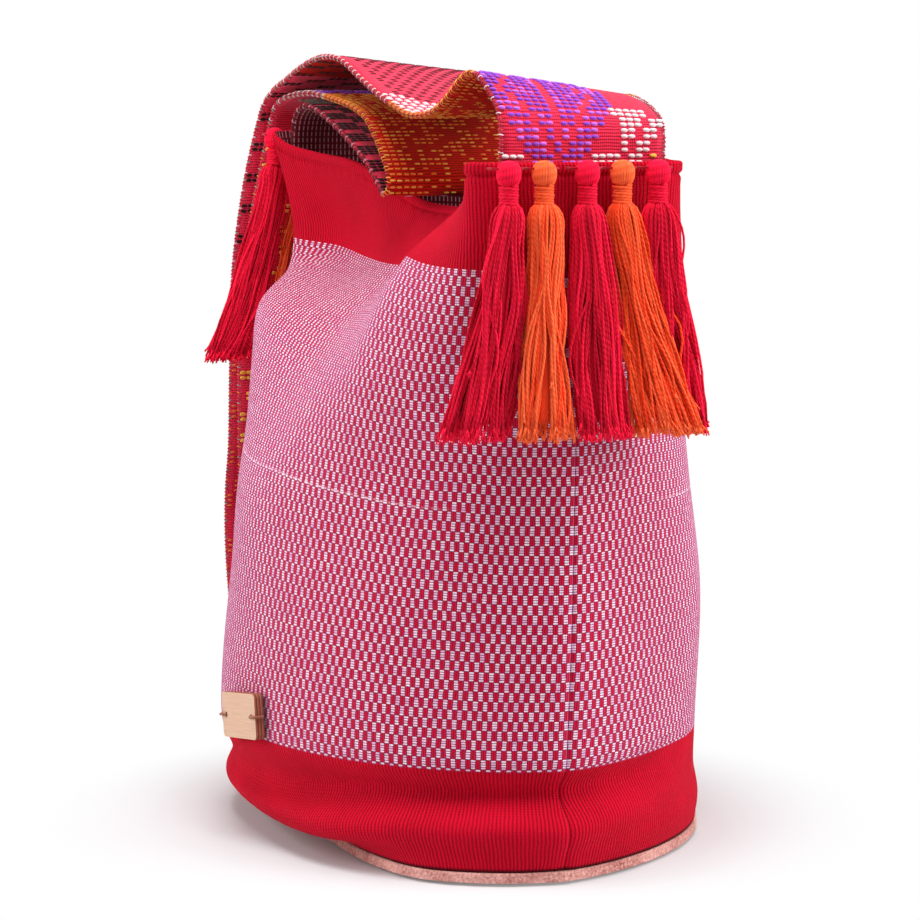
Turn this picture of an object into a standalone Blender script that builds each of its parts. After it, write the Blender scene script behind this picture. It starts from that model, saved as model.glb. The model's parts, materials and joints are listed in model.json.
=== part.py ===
# Handwoven shoulder bag: two cloth panels, a suede sole, a woven strap that lies folded over the
# mouth, ten thread tassels and a wooden tag. Metres, +Z up, origin on the floor under the middle.
# +X is the strap end with the tassels in front, -Y is the panel with the tag.
import math

import bmesh
import bpy
import numpy as np
from mathutils import Matrix, Vector

# Clearance between pieces that touch
GAP = 0.0003

# Body
BODY_LENGTH = 0.277
BODY_DEPTH = 0.203
BODY_HEIGHT = 0.300
BACK_DEPTH_SHARE = 0.95
LOW_BAND_TOP = 0.048
TOP_BAND_HEIGHT = 0.043
RIM_RISE = 0.010
PLUS_RIM_SHARE = 1.004
MINUS_RIM_SHARE = 0.993
SHOULDER_SHARE = 0.717
SEAM_PINCH = 0.016
SEAM_LEAN = 0.007
CLOTH_THICKNESS = 0.002
HEM_HEIGHT = 0.008
HEM_SWELL_OUT = 0.0009
HEM_SWELL_IN = 0.0015
MOUTH_END_MARGIN = 0.006
PANEL_COLUMNS = 42

# Sole
SOLE_THICKNESS = 0.0045
SOLE_LIP = 0.001
SOLE_LIFT = 0.0015
SOLE_FLAT_SHARE = 0.86
SOLE_POINTS = 56

# Strap
STRAP_WIDTH = 0.074
STRAP_THICKNESS = 0.002
STRAP_TUCK = 0.016
STRAP_EASE = 0.0016
STRAP_SHIFT = 0.002
STRAP_STEPS = 3

# Tassels
TASSEL_HEAD_WIDTH = 0.011
TASSEL_HEAD_HEIGHT = 0.0105
TASSEL_NECK_WIDTH = 0.0076
TASSEL_NECK_HEIGHT = 0.0085
TASSEL_LENGTH = 0.110
SKIRT_TOP_WIDTH = 0.0138
SKIRT_DEPTH = 0.0125
TASSEL_SIDES = 12
BINDING_THICKNESS = 0.001
TIE_THREAD = 0.0011
TIE_SLACK = 0.0005
TIE_REACH = 0.0068
TIE_CORNER = 0.0012
HEAD_TOP_WALL = 0.0022
PIVOT_DROP = 0.001

# Tag
TAG_LENGTH = 0.038
TAG_HEIGHT = 0.020
TAG_THICKNESS = 0.0042
TAG_CORNER = 0.002
TAG_HOLE = 0.0024
TAG_HOLE_INSET = 0.0045
TAG_PLACE = 0.0135
TAG_MID_HEIGHT = 0.0565
TAG_TILT = math.radians(8)
TAG_THREAD = 0.0013

HALF_LENGTH = BODY_LENGTH / 2
HALF_DEPTH = BODY_DEPTH / 2
HALF_END = STRAP_WIDTH / 2 + MOUTH_END_MARGIN
FOOT_HEIGHT = SOLE_THICKNESS + SOLE_LIFT
FRONT = -1
BACK = 1


def clear_scene():
    for old in list(bpy.data.objects):
        bpy.data.objects.remove(old, do_unlink=True)


def material(name, colour, roughness):
    made = bpy.data.materials.new(name)
    made.use_nodes = True
    shader = made.node_tree.nodes["Principled BSDF"]
    shader.inputs["Base Color"].default_value = (*colour, 1.0)
    shader.inputs["Roughness"].default_value = roughness
    shader.inputs["Metallic"].default_value = 0.0
    return made


def add_object(name, vertices, faces, look, origin=(0, 0, 0)):
    """Link a mesh as a named object, its vertices given in world metres."""
    centre = Vector(origin)
    mesh = bpy.data.meshes.new(name)
    mesh.from_pydata([Vector(v) - centre for v in vertices], [], faces)
    mesh.materials.append(look)
    tidy = bmesh.new()
    tidy.from_mesh(mesh)
    bmesh.ops.recalc_face_normals(tidy, faces=tidy.faces)
    tidy.to_mesh(mesh)
    tidy.free()
    mesh.shade_smooth()
    mesh.set_sharp_from_angle(angle=math.radians(50))
    made = bpy.data.objects.new(name, mesh)
    made.location = centre
    bpy.context.scene.collection.objects.link(made)
    return made


def curve_through(points, steps):
    """Centripetal Catmull-Rom curve through the points, with the given steps in each span."""
    pts = [np.array(p, float) for p in points]
    pts = [2 * pts[0] - pts[1]] + pts + [2 * pts[-1] - pts[-2]]
    out = []
    for p0, p1, p2, p3 in zip(pts, pts[1:], pts[2:], pts[3:]):
        t0 = 0.0
        t1 = t0 + math.sqrt(np.linalg.norm(p1 - p0))
        t2 = t1 + math.sqrt(np.linalg.norm(p2 - p1))
        t3 = t2 + math.sqrt(np.linalg.norm(p3 - p2))
        for k in range(steps):
            t = t1 + (t2 - t1) * k / steps
            a1 = (t1 - t) / (t1 - t0) * p0 + (t - t0) / (t1 - t0) * p1
            a2 = (t2 - t) / (t2 - t1) * p1 + (t - t1) / (t2 - t1) * p2
            a3 = (t3 - t) / (t3 - t2) * p2 + (t - t2) / (t3 - t2) * p3
            b1 = (t2 - t) / (t2 - t0) * a1 + (t - t0) / (t2 - t0) * a2
            b2 = (t3 - t) / (t3 - t1) * a2 + (t - t1) / (t3 - t1) * a3
            out.append((t2 - t) / (t2 - t1) * b1 + (t - t1) / (t2 - t1) * b2)
    out.append(pts[-2])
    return np.array(out)


def evenly(points, count):
    """Resample a polyline to count equal steps along its length."""
    steps = np.linalg.norm(np.diff(points, axis=0), axis=1)
    along = np.concatenate([[0.0], np.cumsum(steps)])
    wanted = np.linspace(0.0, along[-1], count + 1)
    return np.stack([np.interp(wanted, along, points[:, k]) for k in range(3)], axis=1)


def seam_place(height):
    """How far the +X seam stands to the side at a height: it leans towards the front's foot."""
    return -SEAM_LEAN * (1 - height / BODY_HEIGHT)


def oval(side, length_share, depth_share, height):
    """Half of the body's plan from the +X seam to the -X seam, with a slight corner at each."""
    depth = HALF_DEPTH * depth_share
    points = []
    for k in range(61):
        turn = math.pi * k / 60
        pinch = SEAM_PINCH * math.sin(turn) * abs(math.cos(turn))
        x = math.cos(turn) * (HALF_LENGTH * length_share - pinch)
        y = side * depth * math.sin(turn) + seam_place(height) * max(math.cos(turn), 0) ** 4
        points.append((x, y, height))
    return np.array(points)


def drawn(points):
    """A level line from hand-placed plan points: shares of half length, metres, metres."""
    scaled = [(HALF_LENGTH * x, y, z) for x, y, z in points]
    return curve_through(scaled, 8)


def front_foot():
    """Plan points of the front panel's foot, drawn in where the band curls under the bag."""
    depth = HALF_DEPTH
    foot = FOOT_HEIGHT
    return [
        (0.99, seam_place(foot), foot), (0.945, -0.32 * depth, foot), (0.80, -0.60 * depth, foot),
        (0.56, -0.71 * depth, foot), (0.25, -0.73 * depth, foot), (-0.08, -0.73 * depth, foot),
        (-0.40, -0.71 * depth, foot), (-0.70, -0.59 * depth, foot),
        (-0.91, -0.35 * depth, foot), (-0.985, 0.0, foot)]


def front_levels():
    """Level lines of the front panel from foot to rim. The mouth falls inwards near its middle."""
    depth = HALF_DEPTH
    end = HALF_END
    rim = BODY_HEIGHT
    band = BODY_HEIGHT - TOP_BAND_HEIGHT
    shoulder = BODY_HEIGHT * SHOULDER_SHARE
    plus = PLUS_RIM_SHARE
    minus = -MINUS_RIM_SHARE
    high = BODY_HEIGHT + RIM_RISE
    rim_line = [
        (plus, 0.0, rim), (plus, -0.35 * end, rim), (plus, -0.68 * end, rim),
        (plus - 0.009, -0.96 * end, rim), (0.945, -1.13 * end, rim), (0.83, -0.38 * depth, rim - 0.003),
        (0.62, -0.24 * depth, rim - 0.012), (0.33, -0.09 * depth, rim - 0.020),
        (0.0, -0.155 * depth, rim - 0.020), (-0.24, -0.24 * depth, rim - 0.010),
        (-0.47, -0.29 * depth, rim - 0.003), (-0.76, -0.335 * depth, rim),
        (-0.90, -0.97 * end, high - 0.006), (-0.965, -1.04 * end, high - 0.001),
        (minus, -0.80 * end, high), (minus, -0.4 * end, high), (minus, 0.0, high)]
    band_line = [
        (1.007, seam_place(band), band), (0.995, -0.28 * depth, band), (0.94, -0.49 * depth, band + 0.001),
        (0.76, -0.555 * depth, band + 0.002), (0.57, -0.545 * depth, band + 0.004),
        (0.37, -0.43 * depth, band + 0.001), (0.16, -0.345 * depth, band - 0.003),
        (-0.05, -0.32 * depth, band - 0.004), (-0.36, -0.27 * depth, band - 0.003),
        (-0.69, -0.25 * depth, band), (-0.91, -0.365 * depth, band + 0.003),
        (-0.965, -0.24 * depth, band + 0.005), (-0.977, 0.0, band + 0.005)]
    shoulder_line = [
        (1.003, seam_place(shoulder), shoulder), (0.965, -0.30 * depth, shoulder),
        (0.82, -0.58 * depth, shoulder), (0.58, -0.715 * depth, shoulder),
        (0.29, -0.705 * depth, shoulder), (0.0, -0.68 * depth, shoulder + 0.002),
        (-0.29, -0.67 * depth, shoulder + 0.006), (-0.61, -0.655 * depth, shoulder + 0.012),
        (-0.83, -0.56 * depth, shoulder + 0.015), (-0.975, -0.31 * depth, shoulder + 0.015),
        (-1.003, 0.0, shoulder + 0.012)]
    return [
        drawn(front_foot()),
        oval(FRONT, 1.015, 1.03, 0.36 * LOW_BAND_TOP),
        oval(FRONT, 1.0, 1.03, 0.64 * LOW_BAND_TOP),
        oval(FRONT, 0.995, 1.05, LOW_BAND_TOP),
        oval(FRONT, 1.007, 1.005, 0.36 * BODY_HEIGHT),
        oval(FRONT, 1.003, 0.925, 0.55 * BODY_HEIGHT),
        drawn(shoulder_line), drawn(band_line), drawn(rim_line)]


def back_levels():
    """Level lines of the back panel from foot to rim. It stays round up to the mouth."""
    depth = HALF_DEPTH * BACK_DEPTH_SHARE
    end = HALF_END
    rim = BODY_HEIGHT
    plus = PLUS_RIM_SHARE
    minus = -MINUS_RIM_SHARE
    high = BODY_HEIGHT + RIM_RISE
    rim_line = [
        (plus, 0.0, rim), (plus, 0.35 * end, rim), (plus, 0.74 * end, rim),
        (plus - 0.017, 1.02 * end, rim),
        (0.78, 0.56 * depth, rim), (0.42, 0.75 * depth, rim), (0.0, 0.84 * depth, rim + 0.002),
        (-0.42, 0.80 * depth, high - 0.005), (-0.80, 0.64 * depth, high - 0.002),
        (-0.975, 1.04 * end, high - 0.001), (minus, 0.76 * end, high),
        (minus, 0.4 * end, high), (minus, 0.0, high)]
    band = BODY_HEIGHT - TOP_BAND_HEIGHT
    band_line = [
        (1.007, seam_place(band), band), (0.992, 0.31 * depth, band), (0.93, 0.48 * depth, band),
        (0.76, 0.62 * depth, band),
        (0.42, 0.79 * depth, band), (0.0, 0.88 * depth, band + 0.001),
        (-0.42, 0.85 * depth, band + 0.002), (-0.77, 0.66 * depth, band + 0.004),
        (-0.96, 0.33 * depth, band + 0.005), (-0.977, 0.0, band + 0.005)]
    share = BACK_DEPTH_SHARE
    return [
        oval(BACK, 0.99, 1.06 * share, FOOT_HEIGHT),
        oval(BACK, 1.015, 1.07 * share, 0.36 * LOW_BAND_TOP),
        oval(BACK, 1.0, 1.05 * share, 0.64 * LOW_BAND_TOP),
        oval(BACK, 0.995, 1.055 * share, LOW_BAND_TOP),
        oval(BACK, 1.007, 1.06 * share, 0.36 * BODY_HEIGHT),
        oval(BACK, 1.003, 0.98 * share, 0.55 * BODY_HEIGHT),
        oval(BACK, 1.003, 0.93 * share, SHOULDER_SHARE * BODY_HEIGHT),
        drawn(band_line), drawn(rim_line)]


# Rows between one level line and the next, from the foot up, and the curve's steps in each span
ROWS_BETWEEN = (1, 1, 1, 2, 2, 2, 3)
SPAN_STEPS = 24


def wall_rows(side):
    """Rows of points on the panel's outer face, and how far each row swells out and in."""
    levels = front_levels() if side == FRONT else back_levels()
    lines = np.array([evenly(line, PANEL_COLUMNS) for line in levels])
    columns = [curve_through(lines[:, k], SPAN_STEPS) for k in range(PANEL_COLUMNS + 1)]
    fine = np.array(columns).transpose(1, 0, 2)
    hem_share = HEM_HEIGHT / TOP_BAND_HEIGHT
    places = []
    for span, rows in enumerate(ROWS_BETWEEN):
        places += [(span + k / rows, 0.0, 0.0) for k in range(rows)]
    last = len(levels) - 2
    places += [(last, 0.0, 0.0), (last + 0.4, 0.0, 0.0), (last + 0.98 - hem_share, 0.0, 0.0)]
    places += [(last + 1.02 - hem_share, HEM_SWELL_OUT, HEM_SWELL_IN)]
    places += [(last + 0.97, HEM_SWELL_OUT, HEM_SWELL_IN), (last + 1.0, 0.0, 0.0)]
    rows = []
    for place, swell_out, swell_in in places:
        at = place * SPAN_STEPS
        low = min(int(at), len(fine) - 2)
        part = at - low
        rows.append(((1 - part) * fine[low] + part * fine[low + 1], swell_out, swell_in))
    return rows


def outward(grid, side):
    """Unit normals of a grid of points, pointing away from the middle of the bag."""
    across = np.gradient(grid, axis=1)
    up = np.gradient(grid, axis=0)
    normal = np.cross(across, up)
    normal /= np.linalg.norm(normal, axis=2, keepdims=True)
    if np.sum(normal[:, :, 1]) * side < 0:
        normal = -normal
    return normal


def panel_faces(side):
    """The outer and inner grid of a panel."""
    rows = wall_rows(side)
    middle = np.array([row for row, swell_out, swell_in in rows])
    normal = outward(middle, side)
    out = np.array([swell_out for row, swell_out, swell_in in rows])[:, None, None]
    into = np.array([swell_in for row, swell_out, swell_in in rows])[:, None, None]
    outer = middle + normal * out
    inner = middle - normal * (CLOTH_THICKNESS + into)
    for grid in (outer, inner):
        grid[0, :, 2] = FOOT_HEIGHT
        grid[:, 0, 1] = seam_place(np.minimum(grid[:, 0, 2], BODY_HEIGHT)) + side * GAP / 2
        grid[:, -1, 1] = side * GAP / 2
    return outer, inner


def panel(name, side, look):
    outer, inner = panel_faces(side)
    rows, columns, axes = outer.shape
    vertices = np.concatenate([outer.reshape(-1, 3), inner.reshape(-1, 3)])
    shift = rows * columns
    faces = []
    for r in range(rows - 1):
        for c in range(columns - 1):
            a = r * columns + c
            faces.append((a, a + 1, a + 1 + columns, a + columns))
            faces.append((a + shift, a + columns + shift, a + 1 + columns + shift, a + 1 + shift))
    for c in range(columns - 1):
        faces.append((c, c + shift, c + 1 + shift, c + 1))
        top = (rows - 1) * columns + c
        faces.append((top, top + 1, top + 1 + shift, top + shift))
    for r in range(rows - 1):
        a = r * columns
        faces.append((a, a + columns, a + columns + shift, a + shift))
        b = a + columns - 1
        faces.append((b, b + shift, b + columns + shift, b + columns))
    return add_object(name, vertices, faces, look)


def stacked(rings):
    """Faces that join rings of equal count, closed with a cap at each end."""
    count = len(rings[0])
    vertices = [v for ring in rings for v in ring]
    faces = []
    for r in range(len(rings) - 1):
        for k in range(count):
            n = (k + 1) % count
            faces.append((r * count + k, r * count + n, (r + 1) * count + n, (r + 1) * count + k))
    faces.append(tuple(reversed(range(count))))
    faces.append(tuple(range((len(rings) - 1) * count, len(rings) * count)))
    return vertices, faces


def sole(look):
    """Suede sole: flat in the middle, its margin curved up to the foot of the panels."""
    front = evenly(front_levels()[0], SOLE_POINTS // 2)
    back = evenly(back_levels()[0], SOLE_POINTS // 2)
    outline = np.concatenate([front, back[::-1][1:-1]])
    outline[:, 2] = 0.0
    reach = np.linalg.norm(outline, axis=1, keepdims=True)

    def ring(share, grow, height):
        points = outline * (share + grow / reach)
        points[:, 2] = height
        return points

    top = FOOT_HEIGHT - GAP
    rings = [
        ring(SOLE_FLAT_SHARE, 0.0, 0.0), ring(0.95, 0.0, 0.3 * SOLE_LIFT),
        ring(1.0, SOLE_LIP, SOLE_LIFT), ring(1.0, SOLE_LIP, top - 0.0006),
        ring(1.0, SOLE_LIP - 0.0006, top), ring(0.97, 0.0, top),
        ring(SOLE_FLAT_SHARE, 0.0, SOLE_THICKNESS)]
    vertices, faces = stacked(rings)
    return add_object("base_sole", vertices, faces, look)


def strap_line():
    """Points along the strap's middle, from inside the +X rim round to inside the -X rim.

    Each point holds the place along the bag, the height, the sideways shift and the roll in
    metres: how much higher the -Y edge lies than the middle.
    """
    half = HALF_LENGTH
    rim = BODY_HEIGHT
    # The cloth, the hem's inner swell and half the strap lie between the wall and the middle
    inset = CLOTH_THICKNESS + HEM_SWELL_IN + GAP + STRAP_THICKNESS / 2 + STRAP_EASE
    plus = PLUS_RIM_SHARE * half - inset
    minus = -MINUS_RIM_SHARE * half + inset + STRAP_EASE
    hem = rim - HEM_HEIGHT
    shift = STRAP_SHIFT
    over = [
        (plus, rim - STRAP_TUCK, shift, 0), (plus, hem, shift, 0), (plus, rim + 0.004, shift, 0),
        (plus, rim + 0.013, shift, 0), (plus - 0.003, rim + 0.020, shift, 0.002),
        (plus - 0.012, rim + 0.0265, 0.8 * shift, 0.0035), (plus - 0.022, rim + 0.031, 0.6 * shift, 0.005),
        (plus - 0.032, rim + 0.0325, 0.4 * shift, 0.005), (plus - 0.042, rim + 0.0305, 0.2 * shift, 0.004),
        (plus - 0.054, rim + 0.026, 0, 0.002), (plus - 0.072, rim + 0.0215, 0, 0),
        (plus - 0.098, rim + 0.0205, 0, -0.001), (plus - 0.125, rim + 0.0245, 0, 0),
        (plus - 0.160, rim + 0.0325, 0, 0.002), (plus - 0.190, rim + 0.0395, 0, 0.0045)]
    crown = [
        (minus + 0.050, rim + 0.0420, 0, 0.004), (minus + 0.028, rim + 0.0410, 0, 0.003),
        (minus + 0.008, rim + 0.0380, 0, 0.002), (minus - 0.008, rim + 0.0350, -0.001, 0),
        (minus - 0.021, rim + 0.0310, -0.002, 0), (minus - 0.032, rim + 0.0235, -0.004, 0),
        (minus - 0.037, rim + 0.0125, -0.006, 0), (minus - 0.0395, rim - 0.002, -0.009, 0)]
    hang_out = [
        (minus - 0.043, rim - 0.022, -0.012, 0), (minus - 0.050, rim - 0.060, -0.015, 0),
        (minus - 0.052, rim - 0.110, -0.016, 0), (minus - 0.055, rim - 0.148, -0.016, 0),
        (minus - 0.0605, 0.130, -0.016, 0), (minus - 0.062, 0.110, -0.016, 0),
        (minus - 0.059, 0.086, -0.016, 0), (minus - 0.052, 0.066, -0.016, 0),
        (minus - 0.043, 0.060, -0.016, 0)]
    hang_in = [
        (minus - 0.036, 0.068, -0.016, 0), (minus - 0.036, 0.100, -0.016, 0),
        (minus - 0.038, rim - 0.150, -0.016, 0), (minus - 0.039, rim - 0.090, -0.015, 0),
        (minus - 0.036, rim - 0.040, -0.011, 0), (minus - 0.032, rim - 0.004, -0.005, 0),
        (minus - 0.0285, rim + 0.014, -0.002, 0), (minus - 0.0235, rim + 0.0222, -0.001, 0),
        (minus - 0.013, rim + 0.0262, 0, 0)]
    into = [
        (minus + 0.010, rim + 0.0285, 0, 0), (minus + 0.036, rim + 0.0285, 0, 0),
        (minus + 0.062, rim + 0.0260, 0, 0), (minus + 0.088, rim + 0.0225, 0, 0),
        (minus + 0.106, rim + 0.0175, 0, 0), (minus + 0.121, rim + 0.007, 0, 0),
        (minus + 0.1325, rim - 0.004, 0, 0), (minus + 0.1355, rim - 0.0095, 0, 0),
        (minus + 0.1335, rim - 0.0145, 0, 0), (minus + 0.1285, rim - 0.0155, 0, 0)]
    back_up = [
        (minus + 0.122, rim - 0.0115, 0, 0), (minus + 0.108, rim - 0.003, 0, 0),
        (minus + 0.084, rim + 0.007, 0, 0), (minus + 0.058, rim + 0.0155, 0, 0),
        (minus + 0.034, rim + 0.0215, 0, 0), (minus + 0.016, rim + 0.0225, 0, 0),
        (minus + 0.005, rim + 0.018, 0, 0), (minus + 0.001, rim + 0.011, 0, 0),
        (minus, rim + 0.003, 0, 0), (minus, rim + RIM_RISE - STRAP_TUCK, 0, 0)]
    return over + crown + hang_out + hang_in + into + back_up


def strap(look):
    """One woven band, swept along its line, with both ends tucked inside the rim."""
    line = strap_line()
    middle = curve_through([(x, shift, z) for x, z, shift, roll in line], STRAP_STEPS)
    rolls = curve_through([(k, roll * 10, 0) for k, (x, z, shift, roll) in enumerate(line)], STRAP_STEPS)
    along = np.gradient(middle, axis=0)
    along[:, 1] = 0
    along /= np.linalg.norm(along, axis=1, keepdims=True)
    up = np.stack([-along[:, 2], np.zeros(len(along)), along[:, 0]], axis=1)
    rings = []
    for k, centre in enumerate(middle):
        lift = np.array([0, 0, rolls[k][1] / 10])
        ring = []
        for face in (1, -1):
            for across in (-1, 0, 1):
                place = centre + np.array([0, face * across * STRAP_WIDTH / 2, 0])
                place = place - lift * face * across + up[k] * face * STRAP_THICKNESS / 2
                ring.append(place)
        rings.append(ring)
    vertices, faces = stacked(rings)
    return add_object("strap", vertices, faces, look)


class Rim:
    """Where tassels hang: a point on the hem's outer face and the directions there."""

    def __init__(self, end, place):
        self.end = end
        edge = PLUS_RIM_SHARE if end > 0 else MINUS_RIM_SHARE
        height = BODY_HEIGHT if end > 0 else BODY_HEIGHT + RIM_RISE
        self.out = Vector((end, 0, 0))
        self.along = Vector((0, 1, 0))
        self.face = end * (edge * HALF_LENGTH + HEM_SWELL_OUT)
        self.pivot = Vector((self.face + end * TIE_REACH, place, height - PIVOT_DROP))


# Tassel places along the rim, where each skirt ends and how wide it is there, and its colour:
# place, end place, end distance from the wall, half width at the end, colour
TASSEL_ROWS = {
    1: [(-0.0365, -0.0505, 0.0000, 0.0155, "red"), (-0.0210, -0.0225, 0.0070, 0.0118, "orange"),
        (-0.0020, 0.0018, 0.0080, 0.0118, "red"), (0.0135, 0.0285, 0.0070, 0.0140, "orange"),
        (0.0295, 0.0476, 0.0000, 0.0048, "red")],
    -1: [(-0.0400, -0.0640, -0.002, 0.0130, "red"), (-0.0205, -0.0360, 0.0060, 0.0120, "orange"),
         (-0.0005, -0.0060, 0.0090, 0.0120, "red"), (0.0190, 0.0210, 0.0090, 0.0120, "orange"),
         (0.0370, 0.0490, -0.001, 0.0115, "red")]}
TASSEL_NAMES = ("first", "second", "third", "fourth", "fifth")


def tassel_rings(rim, end_place, end_out, end_half):
    """Rings down a tassel: head, bound neck, shoulder and the spreading skirt."""
    top = TIE_THREAD / 2 + TIE_SLACK + HEAD_TOP_WALL
    head = TASSEL_HEAD_WIDTH / 2
    neck = TASSEL_NECK_WIDTH / 2
    shoulder = SKIRT_TOP_WIDTH / 2
    deep = SKIRT_DEPTH / 2
    neck_top = TASSEL_HEAD_HEIGHT * 0.93
    neck_end = neck_top + TASSEL_NECK_HEIGHT
    skirt = TASSEL_LENGTH - neck_end
    profile = [
        (0.0, 0.38 * head, 0.38 * head), (0.10 * TASSEL_HEAD_HEIGHT, 0.70 * head, 0.70 * head),
        (0.33 * TASSEL_HEAD_HEIGHT, 0.96 * head, 0.96 * head),
        (0.58 * TASSEL_HEAD_HEIGHT, head, head), (0.82 * TASSEL_HEAD_HEIGHT, 0.86 * head, 0.86 * head),
        (neck_top, neck, neck), (neck_end, neck, neck),
        (neck_end + 0.04 * skirt, 0.86 * shoulder, 0.75 * deep),
        (neck_end + 0.13 * skirt, shoulder, 0.92 * deep),
        (neck_end + 0.34 * skirt, 0.86 * shoulder + 0.14 * end_half, deep),
        (neck_end + 0.60 * skirt, 0.52 * shoulder + 0.48 * end_half, deep),
        (neck_end + 0.84 * skirt, 0.14 * shoulder + 0.86 * end_half, deep),
        (neck_end + skirt, end_half, 0.92 * deep)]
    start = rim.pivot
    rings = []
    for down, wide, thick in profile:
        bend = max(0.0, (down - neck_end) / skirt)
        y = start.y + (end_place - start.y) * (0.35 * bend + 0.65 * bend ** 1.6)
        x = start.x + rim.end * end_out * bend ** 1.3
        z = start.z + top - down
        ring = []
        for k in range(TASSEL_SIDES):
            turn = 2 * math.pi * k / TASSEL_SIDES
            ring.append((x + thick * math.cos(turn), y + wide * math.sin(turn), z))
        rings.append(ring)
    return rings


def bore_out(target, centre, direction, radius, length):
    """Cut a round hole through the target, about the centre, along the direction."""
    bpy.ops.mesh.primitive_cylinder_add(vertices=10, radius=radius, depth=length, location=centre)
    cutter = bpy.context.object
    cutter.name = target.name + "_cutter"
    cutter.rotation_euler = direction.to_track_quat("Z", "Y").to_euler()
    cutter.hide_render = True
    cutter.display_type = "WIRE"
    cut = target.modifiers.new("hole", "BOOLEAN")
    cut.operation = "DIFFERENCE"
    cut.solver = "EXACT"
    cut.object = cutter
    return cutter


def tube(name, points, radius, sides, look):
    """A thread along a short list of points, with closed ends."""
    pts = [Vector(p) for p in points]
    rings = []
    side = None
    for k, point in enumerate(pts):
        before = pts[max(k - 1, 0)]
        after = pts[min(k + 1, len(pts) - 1)]
        along = (after - before).normalized()
        if side is None:
            side = along.orthogonal().normalized()
        side = (side - along * side.dot(along)).normalized()
        up = along.cross(side)
        turns = [2 * math.pi * n / sides for n in range(sides)]
        rings.append([point + (side * math.cos(t) + up * math.sin(t)) * radius for t in turns])
    vertices, faces = stacked(rings)
    return add_object(name, vertices, faces, look)


def tassel(end, order, row, looks):
    place, end_place, end_out, end_half, colour = row
    rim = Rim(end, place)
    side = "plus" if end > 0 else "minus"
    name = f"tassel_{side}_{TASSEL_NAMES[order]}"
    rings = tassel_rings(rim, end_place, end_out, end_half)
    vertices, faces = stacked(rings)
    skein = add_object(name + "_skein", vertices, faces, looks[colour], rim.pivot)
    hole = TIE_THREAD / 2 + TIE_SLACK
    bore_out(skein, rim.pivot, rim.along, hole, 2 * TASSEL_HEAD_WIDTH)
    neck_middle = rings[5][0][2] / 2 + rings[6][0][2] / 2
    binding(name, rim, neck_middle, looks["binding_" + colour])
    tie(name, rim, looks[colour])


def binding(name, rim, height, look):
    """The thread wound round the neck, as one ring."""
    inner = TASSEL_NECK_WIDTH / 2 + GAP
    outer = inner + BINDING_THICKNESS
    half = TASSEL_NECK_HEIGHT / 2 - 2 * GAP
    profile = [(inner, half), (outer, half * 0.8), (outer, -half * 0.8), (inner, -half)]
    vertices = []
    faces = []
    count = len(profile)
    for k in range(TASSEL_SIDES):
        turn = 2 * math.pi * k / TASSEL_SIDES
        for radius, lift in profile:
            x = rim.pivot.x + radius * math.cos(turn)
            y = rim.pivot.y + radius * math.sin(turn)
            vertices.append((x, y, height + lift))
        n = (k + 1) % TASSEL_SIDES
        for p in range(count):
            q = (p + 1) % count
            faces.append((k * count + p, n * count + p, n * count + q, k * count + q))
    return add_object(name + "_binding", vertices, faces, look, rim.pivot)


def tie(name, rim, look):
    """The stitch that the tassel hangs from: out of the hem, through the head and back."""
    half = TASSEL_HEAD_WIDTH / 2 + TIE_THREAD
    root = Vector((rim.face + rim.end * GAP, rim.pivot.y, rim.pivot.z))
    reach = rim.pivot.x - root.x
    corner = TIE_CORNER
    points = [
        root + rim.along * half, root + rim.along * half + Vector((reach * 0.5, 0, 0)),
        root + rim.along * half + Vector((reach - rim.end * corner, 0, 0)),
        root + rim.along * (half - corner) + Vector((reach, 0, 0)),
        root - rim.along * (half - corner) + Vector((reach, 0, 0)),
        root - rim.along * half + Vector((reach - rim.end * corner, 0, 0)),
        root - rim.along * half + Vector((reach * 0.5, 0, 0)), root - rim.along * half]
    return tube(name + "_tie", points, TIE_THREAD / 2, 6, look)


def tag_frame():
    """Middle of the tag's back, and its long, upward and outward directions."""
    outer, inner = panel_faces(FRONT)
    lines = [evenly(line, 300) for line in outer if line[0][2] < BODY_HEIGHT / 2]
    line = min(lines, key=lambda row: abs(row[len(row) // 2][2] - TAG_MID_HEIGHT))
    place = int(np.argmin(np.abs(line[:, 0] - TAG_PLACE)))
    level = Vector(line[place - 4] - line[place + 4])
    level.z = 0
    level.normalize()
    out = Vector((level.y, -level.x, 0))
    tilt = Matrix.Rotation(TAG_TILT, 3, out)
    along = tilt @ level
    up = tilt @ Vector((0, 0, 1))
    middle = Vector((line[place][0], line[place][1], TAG_MID_HEIGHT))
    # The plate lies against the furthest bulge of the wall behind it
    reach = 0.0
    for row in lines:
        for point in row:
            offset = Vector(point) - middle
            if abs(offset.dot(along)) < TAG_LENGTH / 2 and abs(offset.z) < TAG_HEIGHT:
                reach = max(reach, offset.dot(out))
    return middle + out * (reach + GAP), along, up, out


def tag(look):
    """The wooden plate with rounded corners and a hole at each end."""
    middle, along, up, out = tag_frame()
    corners = []
    for sx, sz, start in ((1, 1, 0), (-1, 1, 90), (-1, -1, 180), (1, -1, 270)):
        for k in range(4):
            turn = math.radians(start + 30 * k)
            x = sx * (TAG_LENGTH / 2 - TAG_CORNER) + TAG_CORNER * math.cos(turn)
            z = sz * (TAG_HEIGHT / 2 - TAG_CORNER) + TAG_CORNER * math.sin(turn)
            corners.append((x, z))
    rings = []
    for depth in (0.0, TAG_THICKNESS):
        rings.append([middle + along * x + up * z + out * depth for x, z in corners])
    vertices, faces = stacked(rings)
    made = add_object("tag", vertices, faces, look)
    for end in (-1, 1):
        centre = middle + along * end * (TAG_LENGTH / 2 - TAG_HOLE_INSET) + out * TAG_THICKNESS / 2
        bore_out(made, centre, out, TAG_HOLE / 2, 4 * TAG_THICKNESS)
    return made


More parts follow.
